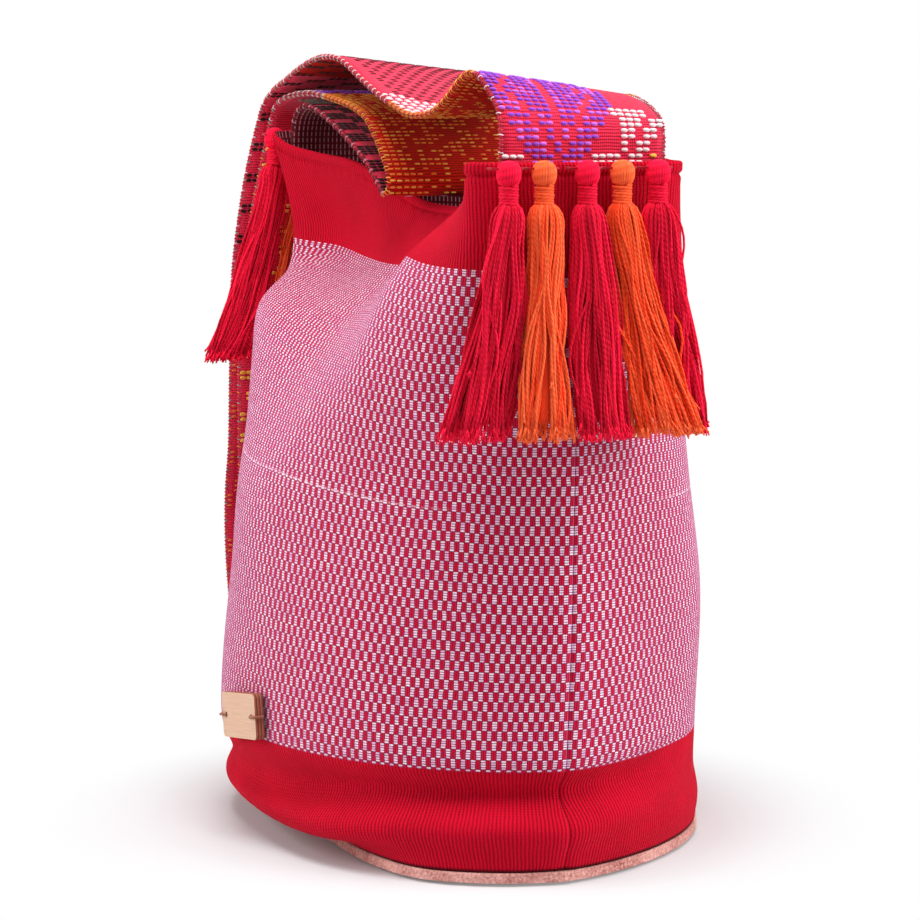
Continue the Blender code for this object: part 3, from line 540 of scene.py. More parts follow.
def panel(name, side, looks):
    """A cloth panel: folds, a turned-in seam at each side and a rolled hem along the rim.

    Its looks are the ribbed band's, the check's and the reverse's.
    """
    grid, height = panel_grid(side)
    normal = grid_normals(grid)
    if np.sum(normal[:, :, 1]) * side < 0:
        normal = -normal
    u = np.linspace(0, 1, PANEL_COLUMNS + 1)[None, :]
    v = height[:, None]
    ease = np.clip(np.minimum(u, 1 - u) / 0.03, 0, 1) ** 0.5
    soft, crease = (front_folds if side == FRONT else back_folds)(u, v)
    folds = soft * ease * np.clip((0.30 - v) / 0.02, 0, 1) + crease
    folds = folds * np.clip((v - FOOT_HEIGHT) / 0.012, 0, 1)
    from_seam = np.minimum(u, 1 - u) * PANEL_WIDTH
    tuck = -1.0 * MM * hump(from_seam, 0.0, 2.6 * MM)
    # The hem: cloth rolled over a cord, with the stitched groove along its foot
    hem = 0.5 * MM * np.clip((v - HEM_FOOT) / (1.2 * MM), 0, 1) ** 0.5
    hem = hem - 0.8 * MM * hump(v, HEM_FOOT - 0.4 * MM, 0.9 * MM)
    hem = hem + 0.25 * MM * np.sin(u * 260) * hump(v, HEM_FOOT - 2 * MM, 3 * MM)
    outer = grid + normal * (folds + tuck + hem)[:, :, None]
    seams = np.stack([seam_place(np.minimum(height, BODY_HEIGHT)), np.zeros(len(height))])
    for edge, seam in zip((0, -1), seams):
        outer[:, edge, 1] = seam + side * 0.03 * MM
    thick = np.full(len(height), CLOTH_THICKNESS)
    thick[height > HEM_FOOT] += 0.6 * MM
    inner = outer - normal * thick[:, None, None]
    for edge, seam in zip((0, -1), seams):
        inner[:, edge, 1] = seam + side * 0.03 * MM
    # The rolled edge closes the rim in a half round
    top_normal = normal[-1]
    middle = (outer[-1] + inner[-1]) / 2
    radius = np.linalg.norm(outer[-1] - inner[-1], axis=1, keepdims=True) / 2
    rise = np.cross(top_normal, np.gradient(outer[-1], axis=0))
    rise /= np.linalg.norm(rise, axis=1, keepdims=True)
    rise *= np.sign(rise[:, 2:3])
    roll = [middle + top_normal * radius * math.cos(a) + rise * radius * math.sin(a)
            for a in np.radians(ROLL_ANGLES)]
    # The lining side needs only every second row
    rows = np.concatenate([outer, np.array(roll), inner[::-2]])
    count_rows, count_columns = rows.shape[:2]
    roll_places = height[-1] + np.arange(1, len(roll) + 1) * 0.8 * MM
    places = np.concatenate([height, roll_places, height[::-2]])
    across = np.broadcast_to(u * PANEL_WIDTH, (count_rows, count_columns))
    cloth_map = np.stack([across, np.broadcast_to(places[:, None], across.shape)], -1).reshape(-1, 2)
    faces = grid_quads(count_rows, count_columns).tolist()
    row_look = []
    for r in range(count_rows - 1):
        if r >= len(height) + len(roll) - 1:
            row_look.append(2)
        else:
            row_look.append(1 if BAND_ROWS <= r < BAND_ROWS + CHECK_ROWS else 0)
    face_look = np.repeat(row_look, count_columns - 1)
    # Close the two side edges and the foot
    top = len(height) - 1
    last = count_rows - 1
    extra = []
    for c in (0, count_columns - 1):
        for k in range(top // 2):
            low = [2 * k, 2 * k + 1, 2 * k + 2, last - k - 1, last - k]
            extra.append([r * count_columns + c for r in low])
        # The end of the roll at the seam
        extra.append([r * count_columns + c for r in range(top, last - top // 2 + 1)])
    for c in range(count_columns - 1):
        extra.append([c, last * count_columns + c, last * count_columns + c + 1, c + 1])
    all_faces = faces + extra
    face_look = np.concatenate([face_look, np.zeros(len(extra), int)])
    made = mesh_piece(name, rows.reshape(-1, 3), all_faces, looks, "bag", face_look,
                      {"cloth": cloth_map})
    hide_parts("front_panel" if side == FRONT else "back_panel")
    return made


def strap_line():
    """Points down the strap's middle: place along the bag, height, sideways shift and roll."""
    half = HALF_LENGTH
    rim = BODY_HEIGHT
    inset = 0.0064
    plus = 1.004 * half - inset
    minus = -0.993 * half + inset + 0.0016
    over = [
        (plus, rim - 0.016, 0.002, 0), (plus, rim - 0.008, 0.002, 0), (plus, rim + 0.004, 0.002, 0),
        (plus, rim + 0.013, 0.002, 0), (plus - 0.003, rim + 0.020, 0.002, 0.002),
        (plus - 0.012, rim + 0.0265, 0.0016, 0.0035), (plus - 0.022, rim + 0.031, 0.0012, 0.005),
        (plus - 0.032, rim + 0.0325, 0.0008, 0.005), (plus - 0.042, rim + 0.0305, 0.0004, 0.004),
        (plus - 0.054, rim + 0.026, 0, 0.002), (plus - 0.072, rim + 0.0215, 0, 0),
        (plus - 0.098, rim + 0.0205, 0, -0.001), (plus - 0.125, rim + 0.0245, 0, 0),
        (plus - 0.160, rim + 0.0325, 0, 0.002), (plus - 0.190, rim + 0.0395, 0, 0.0045)]
    crown = [
        (minus + 0.050, rim + 0.0420, 0, 0.004), (minus + 0.028, rim + 0.0410, 0, 0.003),
        (minus + 0.008, rim + 0.0380, 0, 0.002), (minus - 0.008, rim + 0.0350, -0.001, 0),
        (minus - 0.021, rim + 0.0310, -0.002, 0), (minus - 0.032, rim + 0.0235, -0.004, 0),
        (minus - 0.037, rim + 0.0125, -0.006, 0), (minus - 0.0395, rim - 0.002, -0.009, 0)]
    hang_out = [
        (minus - 0.043, rim - 0.022, -0.012, 0), (minus - 0.050, rim - 0.060, -0.015, 0),
        (minus - 0.052, rim - 0.110, -0.016, 0), (minus - 0.055, rim - 0.148, -0.016, 0),
        (minus - 0.0605, 0.130, -0.016, 0), (minus - 0.062, 0.110, -0.016, 0),
        (minus - 0.059, 0.086, -0.016, 0), (minus - 0.052, 0.066, -0.016, 0),
        (minus - 0.043, 0.060, -0.016, 0)]
    hang_in = [
        (minus - 0.036, 0.068, -0.016, 0), (minus - 0.036, 0.100, -0.016, 0),
        (minus - 0.038, rim - 0.150, -0.016, 0), (minus - 0.039, rim - 0.090, -0.015, 0),
        (minus - 0.036, rim - 0.040, -0.011, 0), (minus - 0.032, rim - 0.004, -0.005, 0),
        (minus - 0.0285, rim + 0.014, -0.002, 0), (minus - 0.0235, rim + 0.0222, -0.001, 0),
        (minus - 0.013, rim + 0.0262, 0, 0)]
    into = [
        (minus + 0.010, rim + 0.0285, 0, 0), (minus + 0.036, rim + 0.0285, 0, 0),
        (minus + 0.062, rim + 0.0260, 0, 0), (minus + 0.088, rim + 0.0225, 0, 0),
        (minus + 0.106, rim + 0.0175, 0, 0), (minus + 0.121, rim + 0.007, 0, 0),
        (minus + 0.1325, rim - 0.004, 0, 0), (minus + 0.1355, rim - 0.0095, 0, 0),
        (minus + 0.1335, rim - 0.0145, 0, 0), (minus + 0.1285, rim - 0.0155, 0, 0)]
    back_up = [
        (minus + 0.122, rim - 0.0115, 0, 0), (minus + 0.108, rim - 0.003, 0, 0),
        (minus + 0.084, rim + 0.007, 0, 0), (minus + 0.058, rim + 0.0155, 0, 0),
        (minus + 0.034, rim + 0.0215, 0, 0), (minus + 0.016, rim + 0.0225, 0, 0),
        (minus + 0.005, rim + 0.018, 0, 0), (minus + 0.001, rim + 0.011, 0, 0),
        (minus, rim + 0.003, 0, 0), (minus, rim - 0.006, 0, 0)]
    return over + crown + hang_out + hang_in + into + back_up


class Band:
    """The strap's surface: a place by its length along, its share across (-1 to 1) and its face."""

    def __init__(self):
        line = strap_line()
        middle = curve_through([(x, shift, z) for x, z, shift, roll in line], 12)
        # The roll follows a curve of its own, over the points' numbers
        rolls = curve_through([(k, roll * 10, 0) for k, (x, z, shift, roll) in enumerate(line)], 12)
        self.at = along_line(middle)
        self.length = self.at[-1]
        self.middle = middle
        self.lift = rolls[:, 1] / 10

    def frame(self, s):
        """Middle, direction and upper normal at each length s."""
        middle = np.stack([np.interp(s, self.at, self.middle[:, k]) for k in range(3)], -1)
        step = 0.6 * MM
        before = np.stack([np.interp(s - step, self.at, self.middle[:, k]) for k in range(3)], -1)
        after = np.stack([np.interp(s + step, self.at, self.middle[:, k]) for k in range(3)], -1)
        along = after - before
        along[..., 1] = 0
        along /= np.linalg.norm(along, axis=-1, keepdims=True)
        up = np.stack([-along[..., 2], np.zeros_like(along[..., 0]), along[..., 0]], -1)
        return middle, along, up

    def place(self, s, a, height):
        """A point at share a across the band, height metres off its middle towards up."""
        middle, along, up = self.frame(s)
        lift = np.interp(s, self.at, self.lift)
        point = middle.copy()
        point[..., 1] += a * STRAP_WIDTH / 2
        point[..., 2] -= a * lift
        return point + up * np.asarray(height)[..., None]


# Where the strap's sewn-in end starts, faced with the check cloth's reverse, whose dark colour is painted
# shade
END_PATCH = 1.150


def strap(band, looks):
    """The woven band: slightly crowned, with round selvedges.

    Its looks are the red ground's, the orange ground's and the reverse's.
    """
    lengths = np.linspace(0, band.length, 700)
    profile = []
    for a in np.linspace(-1, 1, 17)[1:-1]:
        profile.append((a, 0.5 - 0.10 * a ** 8))
    ring = profile + [(1.0, 0.0)] + [(a, -h) for a, h in reversed(profile)] + [(-1.0, 0.0)]
    s = np.repeat(lengths[:, None], len(ring), axis=1)
    a = np.repeat(np.array([p[0] for p in ring])[None, :], len(lengths), axis=0)
    h = np.repeat(np.array([p[1] for p in ring])[None, :], len(lengths), axis=0) * STRAP_THICKNESS
    points = band.place(s, a, h)
    rows, columns = len(lengths), len(ring)
    quads = grid_quads(rows, columns, wrap=True)
    caps = [list(range(columns))[::-1], list(range((rows - 1) * columns, rows * columns))]
    uv = np.stack([a * STRAP_WIDTH / 2, s], -1).reshape(-1, 2)
    faces = list(quads) + caps
    column = np.arange(columns)
    outer = (column >= len(profile)) & (column <= 2 * len(profile))
    along = lengths[:-1, None]
    orange = (along < 0.30) | ((along > 0.93) & (along < 1.07))
    face_look = np.where(outer[None, :], 0, np.where(along > END_PATCH, 2, np.where(orange, 1, 0)))
    face_look = np.concatenate([face_look.ravel(), [0, 0]])
    made = mesh_piece("strap_band", points.reshape(-1, 3), faces, looks, "bag", face_look,
                      {"cloth": uv})
    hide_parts("strap")
    return made


# Brocade: rows of floats along the strap, in cells across it
FLOAT_ROW = 2.6 * MM
FLOAT_CELL = 3.3 * MM
CELLS = 22
OUTER = -1
INNER = 1


def lozenge(i, j, half, thick):
    """A chain of diamonds down the middle of the strap."""
    off = abs(i % (2 * half) - half) + abs(j - 10.5) * 0.9
    return half - thick < off <= half


FAN_VEIN = 7


def fan(level, j):
    """Stepped arms that open upwards on both sides of a leaf, in cells out from its vein."""
    off = abs(j - FAN_VEIN)
    if level == 1 and off == 0:
        return True
    return level < off <= level + 3 or (level > 1 and 1 <= off < level)


def hook(level, j):
    """A stem that widens upwards beside a stepping pair of floats, over a bar of four."""
    if level == 0:
        return 12 <= j <= 15 or 17 <= j <= 18
    if level < 4:
        return 16 <= j < 16 + level or level + 17 <= j <= level + 18
    return level == 4 and 15 <= j <= 19


def motif(face, s, i, j, draw):
    """The colour and size (length, width, height in mm) of the float in one cell, or None.

    The figures change with s, the metres along the strap from its sewn end over the tassels.
    """
    big = (3.0, 1.9, 0.75)
    thin = (2.5, 0.95, 0.4)
    if face == OUTER:
        if i < 6:
            return None
        level = (i - 6) // 2
        if s < 0.088:
            if j == 20 and i == 7:
                return "yellow", big
            if level < 5 and hook(level, j) or (i == 7 and j < 3):
                return "white", big
            tall = 6 - abs(level - 6)
            # About one violet float in three, at random, takes a lighter violet: a painted highlight.
            return (draw.choice(["violet", "violet", "highlight_violet"]), big) if fan(tall, j) and j < 16 else None
        if s < 0.30:
            if abs(s - 0.158) < 0.020 and j < 6.5 - abs(s - 0.150) * 190:
                return ("white", (2.5, 1.7, 0.6)) if (i + j) % 3 else None
            return ("maroon", (2.9, 1.25, 0.35)) if (i + 2 * j) % 4 < 2 and s > 0.1 and j > 1 else None
        if s < 0.42:
            if lozenge(i, j, 11, 3):
                return "white", big
            return ("green", big) if lozenge(i, j, 6, 2) else None
        if s < 0.60:
            if lozenge(i, j, 9, 3):
                return "orange", big
            return ("yellow", big) if (j < 4 or j > 17) and (i // 2 + j) % 3 else None
        if s < 0.86:
            colour = "yellow" if s > 0.70 else ("rose" if s > 0.66 else "green")
            return (colour, big) if (i // 2 + j // 2) % 2 and draw.random() < 0.8 else None
        # Where the strap turns down into the bag, the black floats are partly its figure and partly painted
        # shade.
        if s > 1.06:
            return ("shadow_black", (3.2, 2.3, 0.3)) if (i // 2 + j // 3) % 3 else None
        return ("green", big) if lozenge(i, j, 8, 3) else None
    if s < 0.165 or 0.955 < s < 1.062:
        far = 0.25 if s < 0.165 else 0.55
        density = 0.95 if j < 2 else ((far + 0.8) / 2 if j < 9 else far)
        shown = draw.random() < density
        return (draw.choice(["yellow", "orange", "orange"]), thin) if shown else None
    if s < 0.42:
        # Here the black floats mirror the outer face's maroon figure, and they also darken the underside as
        # painted shade.
        return ("shadow_black", (3.0, 1.8, 0.3)) if (i // 2 + j // 3) % 3 == 0 else None
    if s < 0.60:
        return ("orange", thin) if (i // 3 + j) % 3 == 0 else None
    if 0.86 < s <= 0.955:
        colour = "violet" if s > 0.93 and j < 12 else ("white" if s > 0.90 else "green")
        return (colour, big) if (i + j // 2) % 2 and draw.random() < 0.8 else None
    if s > END_PATCH:
        return None
    return ("rose", thin) if (i // 2 + 2 * j) % 5 == 0 else None


def brocade(name, band, face, looks):
    """Supplementary weft floats on one face of the strap, each a low, puffed grain of yarn."""
    draw = random.Random(name)
    names = list(looks)
    places = []
    for i in range(int((band.length - 2 * MM) / FLOAT_ROW)):
        s = (i + 0.5) * FLOAT_ROW
        for j in range(CELLS):
            found = motif(face, s, i, j, draw)
            if found is None:
                continue
            colour, size = found
            a = ((j - (CELLS - 1) / 2) * FLOAT_CELL + draw.uniform(-0.15, 0.15) * MM) / (STRAP_WIDTH / 2)
            places.append((s + draw.uniform(-0.1, 0.1) * MM, a, names.index(colour)) + size)
    table = np.array(places)
    s, a, which = table[:, 0], table[:, 1], table[:, 2].astype(int)
    size = table[:, 3:6] * MM
    centre = band.place(s, a, np.full(len(s), face * STRAP_THICKNESS * 0.5))
    _, along, up = band.frame(s)
    normal = up * face
    lift = np.interp(s, band.at, band.lift)
    across = np.stack([np.zeros(len(s)), np.full(len(s), STRAP_WIDTH / 2), -lift], -1)
    across /= np.linalg.norm(across, axis=1, keepdims=True)
    # Stations along a grain and the points round each of them, as shares of its size
    stations = ((-0.5, 0.45), (-0.27, 1.0), (0.27, 1.0), (0.5, 0.45))
    profile = ((-0.5, -0.2), (-0.24, 0.85), (0.24, 0.85), (0.5, -0.2))
    shapes = np.array([(x, y * grow, z * grow) for x, grow in stations for y, z in profile])
    points = (centre[:, None] + across[:, None] * (shapes[None, :, 0:1] * size[:, None, 0:1])
              + along[:, None] * (shapes[None, :, 1:2] * size[:, None, 1:2])
              + normal[:, None] * (shapes[None, :, 2:3] * size[:, None, 2:3]))
    grain = grid_quads(4, 4, wrap=True).tolist() + [[3, 2, 1, 0], [12, 13, 14, 15]]
    faces = [[v + len(shapes) * n for v in f] for n in range(len(places)) for f in grain]
    return mesh_piece(name, points.reshape(-1, 3), faces, list(looks.values()), "bag",
                      np.repeat(which, len(grain)))


# The overcast thread's colours in turn, up to each length along the strap
EDGE_COLOURS = [
    (0.062, ("coral", "coral", "coral", "white")), (0.165, ("yellow", "orange", "coral")),
    (0.26, ("coral", "white", "coral")), (0.45, ("coral", "green", "coral", "coral", "white")),
    (0.87, ("coral", "orange", "coral", "green", "coral")), (0.955, ("green", "white", "coral", "coral")),
    (1.064, ("yellow", "orange", "coral")), (9.0, ("maroon", "coral", "maroon", "rose", "maroon"))]
STITCH_PITCH = 1.8 * MM
STITCH_START = 0.016


def overcast(band, looks):
    """The thread sewn over both selvedges, one bent stitch beside the other."""
    names = list(looks)
    count = int((band.length - 0.03) / STITCH_PITCH)
    paths = []
    which = []
    for edge in (-1, 1):
        for n in range(count):
            s = STITCH_START + n * STITCH_PITCH
            colours = next(turn for end, turn in EDGE_COLOURS if s < end)
            reach = 1 + 0.15 * MM / (STRAP_WIDTH / 2)
            inset = 1 - 1.4 * MM / (STRAP_WIDTH / 2)
            near = 1 - 0.45 * MM / (STRAP_WIDTH / 2)
            half = STRAP_THICKNESS / 2
            route = [(inset, -half), (near, -half - 0.10 * MM), (reach, -0.4 * half), (reach, 0.4 * half),
                     (near, half + 0.10 * MM), (inset, half)]
            lean = np.linspace(-0.25, 0.25, len(route)) * STITCH_PITCH
            paths.append(band.place(np.full(len(route), s) + lean, np.array([edge * r[0] for r in route]),
                                    np.array([r[1] for r in route])))
            which.append(names.index(colours[n % len(colours)]))
    points, faces, uv = tubes(paths, 0.25 * MM, 4, (0.31, 0.17, 0.94))
    per = (len(route) - 1) * 4
    face_look = list(np.repeat(which, per)) + list(np.repeat(which, 2))
    return mesh_piece("strap_overcast_stitches", points, faces, list(looks.values()), "bag",
                      face_look)


def tubes(paths, radius, sides, reference):
    """Round threads along paths (threads, points, xyz), each closed by a small cap at its ends."""
    paths = np.asarray(paths, float)
    count, steps = paths.shape[:2]
    along = np.gradient(paths, axis=1)
    along /= np.linalg.norm(along, axis=2, keepdims=True) + 1e-12
    side = np.cross(along, np.asarray(reference, float))
    side /= np.linalg.norm(side, axis=2, keepdims=True) + 1e-12
    up = np.cross(along, side)
    turn = 2 * math.pi * np.arange(sides) / sides
    rings = (paths[:, :, None] + (side[:, :, None] * np.cos(turn)[None, None, :, None]
             + up[:, :, None] * np.sin(turn)[None, None, :, None]) * radius)
    points = rings.reshape(-1, 3)
    faces = []
    maps = []
    distance = np.concatenate([np.zeros((count, 1)),
                               np.cumsum(np.linalg.norm(np.diff(paths, axis=1), axis=2), axis=1)], axis=1)
    one = grid_quads(steps, sides, wrap=True)
    r = one[:, 0] // sides
    k = one[:, 0] % sides
    for n in range(count):
        faces.append(one + n * steps * sides)
        low, high = distance[n][r], distance[n][r + 1]
        around, after = k / sides, (k + 1) / sides
        maps.append(np.stack([np.stack([around, low], -1), np.stack([after, low], -1),
                              np.stack([after, high], -1), np.stack([around, high], -1)], 1))
    faces = [list(q) for q in np.concatenate(faces)]
    uv = list(np.concatenate(maps).reshape(-1, 2))
    for n in range(count):
        base = n * steps * sides
        faces.append([base + j for j in range(sides)][::-1])
        faces.append([base + (steps - 1) * sides + j for j in range(sides)])
        uv += [(0.0, 0.0)] * (2 * sides)
    return points, faces, np.array(uv)


def joined(parts):
    """Several (points, faces, uv, shade) meshes as one."""
    points, faces, uvs, shades = [], [], [], []
    start = 0
    for part_points, part_faces, part_uv, part_shade in parts:
        points.append(part_points)
        faces += [[i + start for i in f] for f in part_faces]
        uvs.append(part_uv)
        shades.append(np.broadcast_to(part_shade, len(part_points)))
        start += len(part_points)
    return np.concatenate(points), faces, np.concatenate(uvs), np.concatenate(shades)


# Tassels: place, end place, end distance from the wall, half width, colour. They follow the packed
# skeins, except that some skirts end up to 3.5 mm aside, which leaves room for the swing.
TASSEL_ROWS = {
    1: [(-0.0365, -0.0505, 0.0000, 0.0155, "red"), (-0.0210, -0.0225, 0.0070, 0.0118, "orange"),
        (-0.0020, 0.0018, 0.0080, 0.0118, "red"), (0.0135, 0.0310, 0.0070, 0.0150, "orange"),
        (0.0295, 0.0455, 0.0000, 0.0052, "red")],
    -1: [(-0.0400, -0.0640, -0.002, 0.0130, "red"), (-0.0205, -0.0360, 0.0048, 0.0120, "orange"),
         (-0.0005, -0.0060, 0.0070, 0.0120, "red"), (0.0190, 0.0210, 0.0072, 0.0115, "orange"),
         (0.0370, 0.0525, -0.001, 0.0090, "red")]}
ORDER_NAMES = ("first", "second", "third", "fourth", "fifth")
# The yarn's top over the pivot: the tie's thread, then the loops laid over it
HEAD_RISE = 1.05 * MM + 2.2 * MM
HEAD_FLUTES = 28
HEAD_HEIGHT = 10.5 * MM
HEAD_HALF = 5.5 * MM
NECK_HALF = 3.4 * MM
NECK_TOP = 0.93 * HEAD_HEIGHT
NECK_LENGTH = 8.5 * MM
NECK_END = NECK_TOP + NECK_LENGTH
NECK_WINDS = 6.5
TASSEL_LENGTH = 110 * MM
THREAD = 0.52 * MM
THREADS = 150
LOCKS = 13
GOLDEN_ANGLE = 2.39996
STRAYS = 5
CORE_POINTS = 48
CORE_SHARE = 0.62


def tassel(end, order, row, looks):
    """One tassel: a bound head of looped yarn over a skirt of loose two-ply threads."""
    place, end_place, end_out, end_half, colour = row
    side_name = "plus" if end > 0 else "minus"
    name = f"tassel_{side_name}_{ORDER_NAMES[order]}"
    draw = random.Random(f"{name} yarn")
    pivot = Vector(frame_pivot(name))
    top = pivot.z + HEAD_RISE
    skirt = TASSEL_LENGTH - NECK_END
    # The far tassels hang flatter, between the wall and the strap's loop
    slim = 1.0 if end > 0 else 0.72
    parts = []
    # Head: threads laid side by side over the tie, so the bulb is fluted
    turn = 2 * math.pi * np.arange(HEAD_FLUTES * 4) / (HEAD_FLUTES * 4)
    rows = []
    for share, width in ((0.0, 0.05), (0.02, 0.34), (0.10, 0.66), (0.2, 0.84), (0.33, 0.96), (0.46, 1.01),
                         (0.58, 1.0), (0.70, 0.95), (0.82, 0.84), (0.91, 0.74)):
        flute = 1 - 0.15 * np.abs(np.sin(turn * HEAD_FLUTES / 2 + 0.8 * share)) ** 0.7 * min(1, width * 1.3)
        radius = HEAD_HALF * width * flute
        rows.append(np.stack([pivot.x + radius * np.cos(turn), pivot.y + radius * np.sin(turn),
                              np.full(len(turn), top - share * HEAD_HEIGHT)], -1))
    neck = 0.9 * NECK_HALF
    for depth in (NECK_TOP, NECK_TOP + 3 * MM):
        rows.append(np.stack([pivot.x + neck * np.cos(turn), pivot.y + neck * np.sin(turn),
                              np.full(len(turn), top - depth)], -1))
    head = np.array(rows)
    count = len(turn)
    faces = [list(q) for q in grid_quads(len(rows), count, wrap=True, flip=True)]
    faces += [list(range(count)), list(range((len(rows) - 1) * count, len(rows) * count))[::-1]]
    uv = [((i % count) / count, (i // count) * 1.1 * MM) for f in faces for i in f]
    # The head takes a tone near the yarn's lightest: a painted highlight, as if lit from above.
    parts.append((head.reshape(-1, 3), faces, np.array(uv), 0.95))
    shoulder = (7.7 if end > 0 else 6.3) * MM

    def skirt_at(bend):
        """Middle, half width and half depth of the skirt at a share of its length."""
        x = pivot.x + end * end_out * bend ** 1.3
        y = pivot.y + (end_place - place) * (0.35 * bend + 0.65 * bend ** 1.6)
        wide = np.interp(bend, [0, 0.012, 0.028, 0.055, 0.10, 0.36, 0.62, 0.84, 1.0],
                         [neck, 4.7 * MM, 6.0 * MM, 7.1 * MM, shoulder,
                          0.92 * shoulder + 0.08 * end_half, 0.58 * shoulder + 0.42 * end_half,
                          0.24 * shoulder + 0.76 * end_half, end_half])
        deep = np.interp(bend, [0, 0.012, 0.028, 0.055, 0.10, 1.0],
                         [neck, 4.3 * MM, 5.3 * MM, 6.0 * MM, 6.2 * MM, 5.8 * MM])
        return x, y, wide, slim * deep

    skirt_top = top - NECK_END + 1.0 * MM
    # The threads inside the skirt, as one fluted mass that no light comes through
    turn = 2 * math.pi * np.arange(CORE_POINTS) / CORE_POINTS
    core = []
    for bend, grow in [(0.01, 0.9)] + [(0.93 * k / 14, 1.0) for k in range(1, 15)] + [(0.955, 0.55)]:
        x, y, wide, deep = skirt_at(bend)
        flute = CORE_SHARE * grow * (1 - 0.14 * np.abs(np.sin(turn * CORE_POINTS / 8 + 7 * bend)))
        core.append(np.stack([x + deep * flute * np.cos(turn), y + wide * flute * np.sin(turn),
                              np.full(CORE_POINTS, skirt_top - bend * (skirt + 1.0 * MM))], -1))
    faces = grid_quads(len(core), CORE_POINTS, wrap=True).tolist()
    end_ring = (len(core) - 1) * CORE_POINTS
    faces += [list(range(CORE_POINTS))[::-1], list(range(end_ring, end_ring + CORE_POINTS))]
    uv = [((i % CORE_POINTS) / CORE_POINTS * 18, (i // CORE_POINTS) * 6.5 * MM) for f in faces for i in f]
    # The core takes the yarn's darkest tone: painted shade among the threads inside the skirt.
    parts.append((np.array(core).reshape(-1, 3), faces, np.array(uv), 0.1))
    # Skirt threads, in locks that cross one another, each thread with a frayed end
    paths = []
    frays = []
    steps = 17
    t = np.linspace(0, 1, steps) ** 1.35
    locks = [(draw.uniform(-0.5, 0.5), draw.uniform(0.8, 2.3) * MM, draw.uniform(3.0, 7.0),
              draw.uniform(0, 6.3)) for n in range(LOCKS)]
    swirl = draw.choice([-1, 1]) * draw.uniform(0.25, 0.6)
    for n in range(THREADS):
        angle = n * GOLDEN_ANGLE + draw.uniform(-0.2, 0.2)
        rho = 0.62 + 0.38 * ((n + 0.5) / THREADS) ** 0.7
        drift, sway, beat, start = locks[int(angle / 2 / math.pi * LOCKS) % LOCKS]
        stray = n > THREADS - STRAYS
        length = draw.uniform(0.70, 0.97) if stray else 1.0 + draw.uniform(-0.035, 0.012)
        bend = t * length
        base_x, base_y, wide, deep = skirt_at(bend)
        theta = angle + (drift + swirl) * t ** 1.2 + draw.uniform(-0.15, 0.15) * t
        loose = np.minimum(1, t * 2.5) * (2.2 if stray else 1.0)
        ripple = draw.uniform(0.4, 1.4) * MM * np.sin(t * draw.uniform(5, 14) + start)
        wave = (sway * np.sin(t * beat + start) + ripple) * loose
        ripple = slim * draw.uniform(0.1, 0.6) * MM * np.sin(t * draw.uniform(5, 12) + draw.uniform(0, 6.3))
        y = base_y + rho * wide * np.sin(theta) + wave
        x = base_x + rho * deep * np.cos(theta) + ripple * loose
        z = skirt_top - bend * (skirt + 1.0 * MM)
        path = np.stack([x, y, z], -1)
        paths.append(path)
        down = (path[-1] - path[-3]) / np.linalg.norm(path[-1] - path[-3])
        for k in range(2):
            spread = np.array([draw.uniform(-r, r) for r in (1, 1, 0.3)]) * 1.5 * MM
            reach = draw.uniform(1.6, 3.2) * MM
            frays.append([path[-1] - down * 1.5 * MM, path[-1] + down * 0.4 * reach + 0.45 * spread,
                          path[-1] + down * reach + spread])
    parts.append((*tubes(frays, 0.36 * MM, 4, (1, 0, 0)), 1.0))
    shade = np.repeat([draw.random() ** 1.3 for n in range(THREADS)], steps * 5)
    parts.append((*tubes(paths, THREAD, 5, (1, 0, 0)), shade))
    points, faces, uvs, shades = joined(parts)
    made = mesh_piece(name + "_yarn", points, faces, [looks[colour]], name, None,
                      {"yarn": uvs}, shades)
    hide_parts(name + "_skein")
    # Neck: the same yarn wound round it
    k = np.linspace(0, 1, int(NECK_WINDS * 18))
    angle = 2 * math.pi * NECK_WINDS * k
    radius = NECK_HALF + 0.12 * MM * np.sin(angle * 0.37)
    z = top - NECK_TOP - 0.35 * MM - k * (NECK_LENGTH - 0.7 * MM)
    path = np.stack([pivot.x + radius * np.cos(angle), pivot.y + radius * np.sin(angle), z], -1)[None]
    points, faces, uv = tubes(path, 0.70 * MM, 7, (0, 0, 1))
    wrap = mesh_piece(name + "_wrap", points, faces, [looks[colour]], name, None,
                      {"yarn": uv}, np.full(len(points), 0.6))
    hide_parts(name + "_binding")
    wear(name + "_tie", looks["tie"])


def wear(name, look):
    """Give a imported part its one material."""
    materials = nodes[name].data.materials
    materials.clear()
    materials.append(look)


def frame_pivot(name):
    """Where a tassel hangs: the point that its joint turns about."""
    return next(j["pos_m"] for j in frame["joints"] if j["child"] == name)


BROCADE_YARNS = {
    "violet": "#9A4CD6", "highlight_violet": "#CE6EE6", "white": "#F6E6EA", "yellow": "#FFC04A", "orange": "#FF9030",
    "maroon": "#6A1226", "green": "#9DAA98", "rose": "#E7A9B4", "shadow_black": "#3A0A18"}


